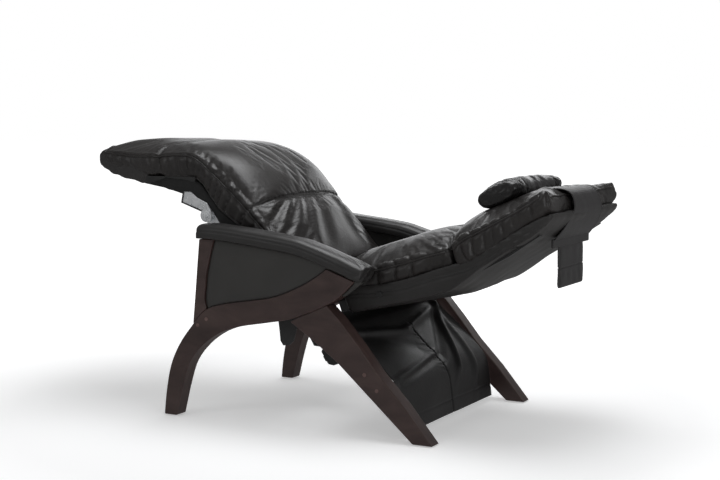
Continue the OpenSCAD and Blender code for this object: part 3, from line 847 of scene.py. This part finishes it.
seat_stitches = sewn("seat_stitches", stitch_tree, stitch_lines, thread_finish, Spacing=0.005, Thread=0.0006)
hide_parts("seat_cushion", "leg_cushion")
for piece in (long_pad, piping, seat_stitches):
    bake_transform(piece)

# ---- Black under-cloths of the seat and the leg rest ----
# Woven black cloth is drawn round the side rails and across between them, to carry the cushion and
# to hide the springs. It hangs a little slack between its staples.


def woven(name, tone):
    """Plain black upholstery cloth with a fine weave."""
    material, tree, shader, here = surface(name, 0.85)
    cloud = textured(tree, "ShaderNodeTexNoise", here, Scale=20.0, Detail=3)
    tree.links.new(ramp(tree, cloud.outputs["Fac"], (0.3, grey(tone)), (0.7, grey(tone * 1.6))),
                   shader.inputs["Base Color"])
    weft = textured(tree, "ShaderNodeTexWave", here, Scale=260.0, Distortion=0.4)
    weft.bands_direction = "X"
    warp = textured(tree, "ShaderNodeTexWave", here, Scale=260.0, Distortion=0.4)
    warp.bands_direction = "Y"
    under = bumped(tree, shader, weft.outputs["Fac"], 0.4, 0.0003)
    bumped(tree, shader, warp.outputs["Fac"], 0.4, 0.0003, under)
    return material


under_cloth = woven("black_under_cloth", 0.006)
cloth_top = long_low[8:112] - np.array([0.0, 0.003])
cloth_low = knee + spline([(0.300, -0.276), (0.164, -0.132), (0.085, -0.062), (0.040, -0.022),
                           (0.014, 0.014), (-0.012, 0.034), (-0.036, 0.046), (-0.103, 0.065),
                           (-0.166, 0.081), (-0.245, 0.094)], len(cloth_top))
under = pad_form("under_cloth", cloth_top, cloth_low, cloth_top, seat_half - 0.006, corner=0.006)
voxel_form(under, 0.006, relax=3)
points, facing = coordinates(under), normals(under)
ripple = 0.0014 * undulate(points, 0.09, 31) + 0.0010 * waves(points[:, 1] + 0.4 * points[:, 2], 0.034, 33)
set_coordinates(under, points + facing * ripple[:, None])
under.data.materials.append(under_cloth)
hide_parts("seat_sling", "leg_sling")
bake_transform(under)

# ---- Foot boot ----
# A leather pocket is pulled over the foot end from below, and takes the wear of shoes. Its mouth is
# hemmed, and it wrinkles where it is drawn tight round the board.
boot_mouth = -0.238
boot_top = knee + spline([(boot_mouth, 0.180), (-0.276, 0.180), (-0.345, 0.185), (foot_end - 0.0035, 0.194)],
                         60)
boot_low = knee + spline([(boot_mouth, 0.093), (-0.280, 0.103), (-0.363, 0.121), (-0.412, 0.143),
                          (foot_end - 0.003, 0.162)], 60)
boot = pad_form("foot_boot_cover", boot_top, boot_low, boot_top, seat_half - 0.0022, corner=0.022)
voxel_form(boot, 0.0045, relax=3)
points, facing = coordinates(boot), normals(boot)
along, off = followed(points, boot_top)
wall = np.clip((np.abs(points[:, 0]) - (seat_half - 0.03)) / 0.02, 0, 1)
creases = waves(along * 0.8 + points[:, 2] * 0.5, 0.030, 41) * 0.0019 * np.clip(off / 0.02, 0, 1)
hem = 0.0022 * np.exp(-((points[:, 1] - knee[0] - boot_mouth + 0.012) / 0.004) ** 2)
moved = creases * (0.4 + 0.6 * wall) - hem + 0.001 * undulate(points, 0.08, 6)
set_coordinates(boot, points + facing * moved[:, None])
boot.data.materials.append(leather("boot_leather", (0.024, 0.022, 0.0215), (0.017, 0.0155, 0.015), 0.44))
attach(boot, "leg_rest")
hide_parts("foot_boot")

# ---- Back cover ----
# The back's tray is wrapped in softer leather, pulled over a moulded shell and sewn to a band under
# the cushions. It is slack and creased towards the head end.
hinge = np.array(joint["back_fold"]["pos_m"][1:])
back_angle = math.radians(23)
back_way = np.array([math.cos(back_angle), math.sin(back_angle)])
back_up = np.array([-math.sin(back_angle), math.cos(back_angle)])


def back_side(*pairs):
    return np.array([hinge + back_way * s + back_up * n for s, n in pairs])


back_len = 0.802
back_half = (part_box("upper_cushion")[1].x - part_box("upper_cushion")[0].x) / 2
lumbar_half = (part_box("lumbar_cushion")[1].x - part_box("lumbar_cushion")[0].x) / 2
cover_top = spline(back_side((0.077, -0.006), (0.120, -0.008), (0.20, -0.032), (0.30, -0.046),
                             (0.40, -0.054), (0.503, -0.064), (0.61, -0.053), (0.715, -0.036),
                             (back_len - 0.004, -0.034)), 140)
cover_low = spline(back_side((0.080, -0.080), (0.104, -0.094), (0.20, -0.112), (0.322, -0.136),
                             (0.400, -0.147), (0.440, -0.146), (0.494, -0.137), (0.545, -0.126),
                             (0.610, -0.114), (0.703, -0.096), (0.762, -0.074),
                             (back_len - 0.006, -0.050)), 140)
cover_share = np.linspace(0, 1, 140)
keel_rise = np.interp(cover_share, [0, 0.3, 0.6, 0.8, 0.93, 1], [0.006, 0.012, 0.022, 0.022, 0.014, 0.004])
cover = pad_form("back_cover", cover_top, cover_low, cover_top, back_half - 0.005, corner=0.014,
                 keel=keel_rise[:, None] * back_up)
voxel_form(cover, 0.0062, relax=5)
refined(cover)
points, facing = coordinates(cover), normals(cover)
along, off = followed(points, cover_top)
taper = np.clip((lumbar_half + 0.006) / back_half, 0, 1)
narrow = 1 - (1 - taper) * np.clip((0.42 - along) / 0.20, 0, 1)
points[:, 0] *= narrow
soft = 0.0026 * undulate(points, 0.24, 51) + 0.0009 * undulate(points, 0.09, 52)
head_pull = np.clip((along - 0.44) / 0.15, 0, 1)
pulled = waves(along - 1.2 * off, 0.060, 53) * 0.0030 * head_pull * np.clip(1 - off / 0.06, 0, 1)
band = 0.0026 * np.exp(-((off - 0.024) / 0.0035) ** 2) + 0.0018 * np.exp(-((off - 0.034) / 0.003) ** 2)
wall = np.clip(np.abs(facing[:, 0]) * 1.6 - 0.3, 0, 1)
set_coordinates(cover, points + facing * (soft + pulled - band * wall)[:, None])
cover.data.materials.append(leather("back_leather", (0.021, 0.0195, 0.019), (0.0145, 0.0135, 0.013), 0.42))
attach(cover, "back")
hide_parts("back_tray")
band_lines = []
for side in (1, -1):
    for drop in (0.0275, 0.031):
        line = []
        for s, spot in list(zip(np.linspace(0, 0.72, 140), cover_top))[4:88]:
            line.append((side * back_half * np.interp(s, [0.1, 0.42], [taper, 1]), *(spot - back_up * drop)))
        band_lines.append(laid_on(cover, line, 0.0003))
band_stitches = sewn("back_band_stitches", stitch_tree, band_lines, thread_finish, Spacing=0.0052,
                     Thread=0.0006)
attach(band_stitches, "back")

# ---- Back cushions ----
# The lower cushion fills the small of the back, and the upper one carries the shoulders and the head.
# Both are boxed, with piped edges and gathered walls, and they meet in a deep tuck.


def back_cushion(name, node, rim, low, crown, half, seed, ruche, held_ends, ears=0.0):
    """One boxed and piped back cushion, simulated, then creased, piped and set on the back."""
    way = np.gradient(rim, axis=0)
    way /= np.linalg.norm(way, axis=1)[:, None]
    top_line = rim + np.array([-way[:, 1], way[:, 0]]).T * crown[:, None]
    pad = pad_form(name, rim, low, top_line, half - 0.003, corner=0.016, puff=3.6)
    voxel_form(pad, cushion_net, relax=2)
    stuffed(pad, lambda spots: near_edge(spots, rim, half, held_edge), 0.012)
    refined(pad)
    spots, out = coordinates(pad), normals(pad)
    run, away = followed(spots, rim)
    _, low_away = followed(spots, low)
    side_wall = np.clip((np.abs(spots[:, 0]) - (half - 0.016)) / 0.010, 0, 1)
    mid = np.clip(away / 0.014, 0, 1) * np.clip(low_away / 0.012, 0, 1)
    gathers = (gathered(run + 0.35 * away, ruche, seed) * 0.0058 + 0.002) * side_wall * mid
    top = np.clip(out @ np.array([0, *back_up]), 0, 1)
    tug = waves(run - 0.4 * np.abs(spots[:, 0]), 0.100, seed + 1, octaves=2) * 0.0005
    tug *= np.clip((np.abs(spots[:, 0]) - 0.22) / 0.05, 0, 1) * top
    length = run.max()
    at_ends = sum(np.exp(-((run - length * e) / 0.05) ** 2) for e in held_ends)
    end_folds = waves(spots[:, 0], 0.050, seed + 2) * 0.0020 * at_ends * top
    swell = gathers + tug + end_folds + 0.0014 * undulate(spots, 0.18, seed + 3) * top
    swell -= np.exp(-(away / 0.0045) ** 2) * side_wall * 0.0015
    corner_pull = ears * np.clip((np.abs(spots[:, 0]) - 0.15) / (half - 0.15), 0, 1) ** 2
    corner_pull *= np.clip((run - length + 0.12) / 0.12, 0, 1) ** 2
    lift = np.array([0, *(back_way * 0.7 + back_up * 1.0)])
    set_coordinates(pad, spots + out * swell[:, None] + corner_pull[:, None] * lift)
    pad.data.materials.append(cushion_leather)
    cord = sewn(name + "_piping", piping_tree,
                [laid_on(pad, rim_line(rim[3:-4], half - 0.003), 0.0006)], cushion_leather,
                Radius=piping_radius)
    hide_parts(node)
    for piece in (pad, cord):
        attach(piece, "back")
    return pad


lumbar_rim = spline(back_side((0.012, 0.040), (0.10, 0.024), (0.209, 0.007), (0.290, -0.004),
                              (0.390, -0.014), (0.462, -0.024)), 110)
lumbar_low = spline(back_side((0.006, 0.020), (0.100, -0.008), (0.165, -0.032), (0.250, -0.046),
                              (0.360, -0.058), (0.462, -0.068)), 110)
lumbar_crown = np.interp(np.linspace(0, 1, 110), [0, 0.06, 0.14, 0.3, 0.7, 0.93, 0.98, 1],
                         [0.006, 0.026, 0.040, 0.062, 0.070, 0.062, 0.044, 0.008])
back_cushion("lumbar_pad", "lumbar_cushion", lumbar_rim, lumbar_low, lumbar_crown, lumbar_half, 61, 0.036,
                      (0.04, 0.98))
upper_rim = spline(back_side((0.474, -0.026), (0.516, -0.011), (0.586, -0.006), (0.654, 0.0),
                             (0.713, 0.006), (0.765, 0.010), (back_len - 0.006, 0.014)), 110)
upper_low = spline(back_side((0.474, -0.070), (0.520, -0.073), (0.586, -0.063), (0.654, -0.051),
                             (0.715, -0.040), (0.765, -0.038), (back_len - 0.008, -0.036)), 110)
upper_crown = np.interp(np.linspace(0, 1, 110), [0, 0.02, 0.06, 0.14, 0.3, 0.6, 0.85, 0.95, 1],
                        [0.008, 0.034, 0.052, 0.060, 0.056, 0.046, 0.035, 0.022, 0.004])
back_cushion("upper_pad", "upper_cushion", upper_rim, upper_low, upper_crown, back_half, 71, 0.052,
                     (0.02, 0.98), ears=0.021)

# ---- Head strap, band and counterweight pocket ----
# A broad strap of two leathers runs from under the pillow, over the head end and down behind it. A
# hemmed band joins it to a pocket of lead shot that hangs free and balances the pillow.


def strip(name, path, half_widths, thickness, material, across=31):
    """A flat strap of even thickness that follows a side-view path, as wide as given at each place."""
    rows = [[(width * a, y, z) for a in np.linspace(-1, 1, across)]
            for width, (y, z) in zip(half_widths, path)]
    vertices = [p for row in rows for p in row]
    faces = [(i * across + j, i * across + j + 1, (i + 1) * across + j + 1, (i + 1) * across + j)
             for i in range(len(rows) - 1) for j in range(across - 1)]
    mesh = bpy.data.meshes.new(name)
    mesh.from_pydata(vertices, [], faces)
    piece = bpy.data.objects.new(name, mesh)
    scene.collection.objects.link(piece)
    wall = piece.modifiers.new("thickness", "SOLIDIFY")
    wall.thickness = thickness
    wall.offset = 0
    edge = piece.modifiers.new("edge", "BEVEL")
    edge.width = thickness * 0.3
    edge.segments = 2
    baked(piece)
    smooth_shaded(piece)
    piece.data.materials.append(material)
    return piece


strap_half = (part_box("head_strap")[1].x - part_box("head_strap")[0].x) / 2
strap_leather = leather("strap_leather", (0.026, 0.0245, 0.025), (0.019, 0.018, 0.0185), 0.46, creased=0.0006)
strap_path = spline(back_side((back_len - 0.215, 0.0475), (back_len - 0.15, 0.0485),
                              (back_len - 0.085, 0.0485), (back_len - 0.040, 0.043),
                              (back_len - 0.012, 0.030), (back_len + 0.003, 0.010),
                              (back_len + 0.004, -0.018), (back_len - 0.004, -0.042),
                              (back_len - 0.040, -0.076), (back_len - 0.079, -0.0985)), 90)
strap_share = np.linspace(0, 1, len(strap_path))
strap_widths = strap_half * (1 - 0.28 * np.exp(-((strap_share - 0.62) / 0.20) ** 2))
strap = strip("head_strap_leather", strap_path, strap_widths, 0.003, strap_leather, across=61)
points, facing = coordinates(strap), normals(strap)
along, _ = followed(points, strap_path)
drawn = 0.0004 * waves(points[:, 0] + 0.5 * along, 0.075, 81) * np.clip((along - 0.14) / 0.06, 0, 1)
points += np.c_[np.zeros(len(points)), np.full(len(points), 0.6), np.full(len(points), 0.2)] * drawn[:, None]
set_coordinates(strap, points)
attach(strap, "back")
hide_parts("head_strap")
edges = [[(side * w, y, z) for w, (y, z) in zip(strap_widths, strap_path)] for side in (1, -1)]
binding = sewn("head_strap_binding", piping_tree, edges, strap_leather, Radius=0.0021)
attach(binding, "back")

band = rounded_copy("strap_band", 0.003, strap_leather, segments=4)

pocket_low, pocket_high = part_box("weight_pocket")
pocket_half = (pocket_high.x - pocket_low.x) / 2
pocket_y = (pocket_low.y + pocket_high.y) / 2
pocket_height = pocket_high.z - pocket_low.z
pocket_tuck = 0.006
rings = []
for x in np.linspace(-pocket_half, pocket_half, 45):
    side = (1 - abs(x / pocket_half) ** 12) ** 0.5
    one = []
    for z in np.linspace(0, 1, 31):
        full = 0.0012 + 0.0046 * side * (np.clip(z / 0.12, 0, 1) * np.clip((1 - z) / 0.05, 0, 1)) ** 0.5
        one.append((x, pocket_y + full, pocket_high.z + pocket_tuck - (pocket_height + pocket_tuck) * z))
    back = [(x, 2 * pocket_y - y, z) for x, y, z in one]
    rings.append(one + back[::-1])
pocket = lofted("counterweight_pocket", rings)
voxel_form(pocket, 0.0026, relax=1)
points, facing = coordinates(pocket), normals(pocket)
height = (pocket_high.z - points[:, 2]) / pocket_height
hanging = waves(points[:, 0] * (1 + 0.4 * height), 0.060, 91) * 0.0014 * np.clip(1 - height * 1.9, 0, 1)
hanging *= np.clip(height / 0.08, 0, 1)
bar = 0.0022 * np.exp(-((height - 0.5) / 0.014) ** 2)
filled = 0.0012 * undulate(points, 0.05, 92)
filled *= np.clip((height - 0.5) * 6, 0, 1) * np.clip((0.97 - height) * 12, 0, 1)
set_coordinates(pocket, points + facing * (hanging - bar + filled)[:, None])
pocket.data.materials.append(strap_leather)
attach(pocket, "weight")
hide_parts("weight_pocket")
inset = 0.004
pocket_lines = []
for face in (1, -1):
    down = [(x, pocket_y + face * 0.007, pocket_high.z - 0.012 - t * (pocket_height - 0.018))
            for x in (pocket_half - inset, -pocket_half + inset) for t in np.linspace(0, 1, 40)]
    over = [(x, pocket_y + face * 0.007, pocket_high.z - pocket_height * 0.5 - 0.003)
            for x in np.linspace(-pocket_half + inset, pocket_half - inset, 60)]
    pocket_lines += [laid_on(pocket, line, 0.0002) for line in (down[:40], down[40:], over)]
pocket_stitches = sewn("pocket_stitches", stitch_tree, pocket_lines, thread_finish, Spacing=0.0045,
                       Thread=0.0005)
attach(pocket_stitches, "weight")

# ---- Head pillow ----
# A soft roll of fibre in glossy leather, with a round panel sewn into each end, which is gathered
# where it meets the body.
pillow_low, pillow_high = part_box("head_pillow")
pillow_half = (pillow_high.x - pillow_low.x) / 2
pillow_centre = np.array([(pillow_low.y + pillow_high.y) / 2, (pillow_low.z + pillow_high.z) / 2])
pillow_centre = pillow_centre - back_way * 0.004 + back_up * 0.0055
cap_inset = 0.022
pillow_long, pillow_thick = 0.075, 0.0320
rings = []
for x in np.sin(np.linspace(-np.pi / 2, np.pi / 2, 41)):
    full = 0.70 + 0.30 * (1 - abs(x) ** 9) ** 0.5
    ring_angle = np.linspace(0, 2 * np.pi, 48, endpoint=False)
    one = []
    for a in ring_angle:
        s = pillow_long * full * np.sign(np.cos(a)) * abs(np.cos(a)) ** 0.85
        n = pillow_thick * full * np.sign(np.sin(a)) * abs(np.sin(a)) ** 0.8
        one.append((x * (pillow_half - 0.004), *(pillow_centre + back_way * s + back_up * n)))
    rings.append(one)
pillow = lofted("head_pillow_roll", rings)
voxel_form(pillow, 0.005, relax=2)
cap_at = pillow_half - cap_inset


def on_cap_seam(spots):
    return np.abs(np.abs(spots[:, 0]) - cap_at) < 0.004


stuffed(pillow, on_cap_seam, 0.007, pressure=4.0, slack=0.02)
refined(pillow)
points, facing = coordinates(pillow), normals(pillow)
from_seam = np.abs(points[:, 0]) - cap_at
turn = np.arctan2((points[:, 1:] - pillow_centre) @ back_up, (points[:, 1:] - pillow_centre) @ back_way)
round_way = turn * 0.05
gathers = waves(round_way, 0.026, 95) * 0.0017 * np.exp(-np.abs(from_seam) / 0.030)
groove = 0.0030 * np.exp(-(from_seam / 0.0035) ** 2)
body_folds = waves(points[:, 0] + 0.25 * round_way, 0.085, 96) * 0.0011 * (from_seam < 0)
above = np.clip(facing @ np.array([0, *back_up]) + 0.7, 0, 1)
set_coordinates(pillow, points + facing * ((gathers + body_folds) * above - groove)[:, None])
pillow_leather = leather("pillow_leather", (0.0165, 0.0155, 0.0155), (0.0115, 0.0105, 0.0105), 0.31)
pillow.data.materials.append(pillow_leather)
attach(pillow, "pillow")
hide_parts("head_pillow")

# ---- Skirt ----
# A leather skirt hides the works from behind. It hangs from the rear crossbar between the legs, is
# gathered on a cord down its middle, and has a deep hem.
skirt_half = (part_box("skirt")[1].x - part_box("skirt")[0].x) / 2
skirt_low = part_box("skirt")[0].z
skirt_path = spline([(0.063, 0.3395), (0.100, 0.3372), (0.131, 0.3325), (0.150, 0.328), (0.168, 0.3135),
                     (0.212, 0.2695), (0.290, 0.2015), (0.332, 0.151), (0.3465, 0.100),
                     (0.3565, skirt_low + 0.0015)], 150)
hem_share = 0.915
seam_x = -0.02
skirt_share = np.linspace(0, 1, len(skirt_path))
skirt_widths = skirt_half + 0.024 * np.clip((skirt_share - 0.16) / 0.2, 0, 1)
# The skirt's leather is coloured darker than the other leathers: painted shade, for the shade that it hangs
# in under the chair.
skirt = strip("leather_skirt", skirt_path, skirt_widths, 0.0026,
              leather("skirt_leather", (0.013, 0.0122, 0.0125), (0.009, 0.0085, 0.0086), 0.46), across=181)
points = coordinates(skirt)
along, _ = followed(points, skirt_path)
skirt_run = float(np.linalg.norm(np.diff(skirt_path, axis=0), axis=1).sum())
share = along / skirt_run
from_seam_x = points[:, 0] - seam_x
lower = np.clip((share - 0.26) / 0.14, 0, 1)


def fold(start, end, width, depth):
    """A soft fold between two places, each given as (x, share of the drop)."""
    (x0, s0), (x1, s1) = start, end
    way = np.array([x1 - x0, (s1 - s0) * 0.5])
    length = np.linalg.norm(way)
    way /= length
    dx, ds = points[:, 0] - x0, (share - s0) * 0.5
    t = np.clip((dx * way[0] + ds * way[1]) / length, 0, 1)
    off_line = dx * way[1] - ds * way[0]
    beyond = np.hypot(dx - t * length * way[0], ds - t * length * way[1])
    return depth * np.exp(-(off_line / width) ** 2) * np.exp(-np.clip(beyond - np.abs(off_line), 0, 1) / 0.03)


drape = fold((-0.27, 0.22), (-0.10, 0.72), 0.013, 0.013) + fold((-0.27, 0.22), (-0.21, 0.80), 0.018, 0.009)
drape += fold((-0.25, 0.24), (0.02, 0.34), 0.014, 0.009) + fold((0.30, 0.27), (0.03, 0.35), 0.014, 0.009)
drape -= fold((-0.26, 0.24), (-0.06, 0.60), 0.020, 0.009) + fold((0.26, 0.30), (0.04, 0.50), 0.030, 0.006)
drape += fold((0.29, 0.66), (0.01, 0.58), 0.010, 0.008) - fold((0.29, 0.70), (0.01, 0.62), 0.010, 0.006)
drape += 0.0025 * undulate(points, 0.20, 101) * lower
ruche_zone = np.clip((share - 0.26) / 0.05, 0, 1) * np.clip((0.80 - share) / 0.12, 0, 1)
ruched = gathered(along + 0.3 * np.abs(from_seam_x), 0.013, 102) * np.exp(-np.abs(from_seam_x) / 0.012)
drape += 0.0042 * ruched * ruche_zone
drape -= 0.0060 * np.exp(-(from_seam_x / 0.003) ** 2) * lower
drape -= 0.0022 * np.exp(-((share - hem_share) / 0.005) ** 2)
lean = np.interp(share, [0, 0.35, 1], [0.3, 0.8, 1.0])
points[:, 1] += drape * lean
points[:, 2] += drape * (1 - share) * 0.7
points[:, 2] = np.maximum(points[:, 2], skirt_low)
set_coordinates(skirt, points)
hem_line = [(x, *skirt_path[int(hem_share * len(skirt_path))]) for x in np.linspace(-0.315, 0.315, 90)]
hem_stitches = sewn("skirt_hem_stitches", stitch_tree, [laid_on(skirt, hem_line, 0.0003)], thread_finish,
                    Spacing=0.005, Thread=0.0006)
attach(hem_stitches, "base")
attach(skirt, "base")
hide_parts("skirt")

# ---- Screws in the leg rest brackets ----
# Two pan head screws hold each bracket to the leg rest's rail. They are zinc plated, with a cross
# recess pressed into each head.
screw_tree, given, result = node_group("screw_heads", Radius=("NodeSocketFloat", 0.004),
                                       Finish=("NodeSocketMaterial", None))
head = screw_tree.nodes.new("GeometryNodeMeshCylinder")
head.inputs["Vertices"].default_value = 20
head.inputs["Depth"].default_value = 0.0022
screw_tree.links.new(given.outputs["Radius"], head.inputs["Radius"])
recess = []
for turn in (0, math.pi / 2):
    bar = screw_tree.nodes.new("GeometryNodeMeshCube")
    bar.inputs["Size"].default_value = (0.0044, 0.0009, 0.0016)
    spun = screw_tree.nodes.new("GeometryNodeTransform")
    spun.inputs["Rotation"].default_value = (0, 0, turn)
    spun.inputs["Translation"].default_value = (0, 0, 0.0009)
    screw_tree.links.new(bar.outputs["Mesh"], spun.inputs["Geometry"])
    recess.append(spun)
cut = screw_tree.nodes.new("GeometryNodeMeshBoolean")
cut.operation = "DIFFERENCE"
screw_tree.links.new(head.outputs["Mesh"], cut.inputs[0])
for spun in recess:
    screw_tree.links.new(spun.outputs["Geometry"], cut.inputs[1])
facing_out = screw_tree.nodes.new("FunctionNodeAlignRotationToVector")
facing_out.axis = "Z"
screw_tree.links.new(screw_tree.nodes.new("GeometryNodeInputNormal").outputs[0], facing_out.inputs["Vector"])
spread = screw_tree.nodes.new("GeometryNodeInstanceOnPoints")
screw_tree.links.new(given.outputs["Geometry"], spread.inputs["Points"])
screw_tree.links.new(cut.outputs[0], spread.inputs["Instance"])
screw_tree.links.new(facing_out.outputs["Rotation"], spread.inputs["Rotation"])
_, dressed = chained(screw_tree, spread.outputs["Instances"], "GeometryNodeRealizeInstances",
                        "GeometryNodeSetMaterial")
screw_tree.links.new(given.outputs["Finish"], dressed.inputs["Material"])
screw_tree.links.new(dressed.outputs[0], result.inputs[0])


def screws(name, places, x, body):
    """Screw heads at side-view places, on the plane at x, facing away from the middle."""
    corners, faces = [], []
    for sign in (1, -1):
        for y, z in places:
            first = len(corners)
            tiny = 0.00001
            corners += [(sign * x, y, z), (sign * x, y + tiny * sign, z), (sign * x, y, z + tiny)]
            faces.append((first, first + 1, first + 2))
    mesh = bpy.data.meshes.new(name)
    mesh.from_pydata(corners, [], faces)
    single = bpy.data.objects.new(name, mesh)
    scene.collection.objects.link(single)
    made = single.modifiers.new(name, "NODES")
    made.node_group = screw_tree
    ident = {i.name: i.identifier for i in screw_tree.interface.items_tree if i.in_out == "INPUT"}
    made[ident["Finish"]] = zinc
    baked(single)
    merged = bmesh.new()
    merged.from_mesh(single.data)
    bmesh.ops.remove_doubles(merged, verts=merged.verts, dist=0.00003)
    merged.to_mesh(single.data)
    merged.free()
    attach(single, body)


bracket_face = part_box("left_leg_bracket")[1].x + 0.0008
screws("bracket_screws", [knee + (-0.080, 0.053), knee + (-0.058, 0.047)], bracket_face, "leg_rest")


# ---- Trim on the leg rest brackets ----
# A black plastic lip is pressed over the lower edge of each channel, and a cap closes its open end.
# Both are moulded, and stand a little proud of the bright face.


def prism(name, outline, x0, x1, material, body, edge=0.0008):
    """A flat piece on both sides of the chair, from its outline seen from the side."""
    form = bmesh.new()
    for low_x, high_x in ((x0, x1), (-x1, -x0)):
        face = form.faces.new([form.verts.new((low_x, y, z)) for y, z in outline])
        pushed = bmesh.ops.extrude_face_region(form, geom=[face])["geom"]
        bmesh.ops.translate(form, verts=[v for v in pushed if isinstance(v, bmesh.types.BMVert)],
                            vec=(high_x - low_x, 0, 0))
    bmesh.ops.recalc_face_normals(form, faces=form.faces)
    mesh = bpy.data.meshes.new(name)
    form.to_mesh(mesh)
    form.free()
    piece = bpy.data.objects.new(name, mesh)
    scene.collection.objects.link(piece)
    broken = piece.modifiers.new("edge", "BEVEL")
    broken.width = edge
    broken.segments = 2
    baked(piece)
    piece.data.materials.append(material)
    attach(piece, body)


rim_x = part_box("left_leg_bracket")[1].x
prism("bracket_lips",
      [knee + p for p in ((-0.0985, 0.0375), (-0.0975, 0.0415), (-0.014, 0.0125), (-0.013, 0.0085))],
      rim_x - 0.006, rim_x + 0.0035, black_plastic, "leg_rest")
prism("bracket_caps",
      [knee + p for p in ((-0.0995, 0.038), (-0.0925, 0.0735), (-0.0885, 0.0735), (-0.0955, 0.038))],
      rim_x - 0.006, rim_x + 0.0035, black_plastic, "leg_rest")

# ---- Knee hinge caps ----
# Turned and zinc plated washers are stacked on each knee pin under a shouldered bolt, and show as
# bright rings round its head.
disc_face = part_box("knee_pins")[1].x
turned_profile = [(0.0212, -0.0006), (0.0206, 0.0008), (0.0172, 0.0010), (0.0168, -0.0002), (0.0148, -0.0002),
                  (0.0144, 0.0022), (0.0104, 0.0026), (0.0100, 0.0008), (0.0074, 0.0008), (0.0072, 0.0034),
                  (0.0064, 0.0042), (0.0034, 0.0043), (0.0032, 0.0016), (0.0, 0.0016)]
around = 48
form = bmesh.new()
for side in (1, -1):
    rings = []
    for radius, rise in turned_profile[:-1]:
        rings.append([form.verts.new((side * (disc_face + rise), knee[0] + radius * math.cos(a),
                                      knee[1] + radius * math.sin(a)))
                      for a in np.linspace(0, 2 * math.pi, around, endpoint=False)])
    centre = form.verts.new((side * (disc_face + turned_profile[-1][1]), *knee))
    for outer_ring, inner_ring in zip(rings, rings[1:]):
        for k in range(around):
            after = (k + 1) % around
            form.faces.new((outer_ring[k], outer_ring[after], inner_ring[after], inner_ring[k]))
    for k in range(around):
        form.faces.new((rings[-1][k], rings[-1][(k + 1) % around], centre))
    form.faces.new(rings[0])
bmesh.ops.recalc_face_normals(form, faces=form.faces)
cap_mesh = bpy.data.meshes.new("knee_caps")
form.to_mesh(cap_mesh)
form.free()
knee_caps = bpy.data.objects.new("knee_caps", cap_mesh)
scene.collection.objects.link(knee_caps)
cap_mesh.materials.append(zinc)
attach(knee_caps, frame["nodes"]["knee_pins"]["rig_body"])
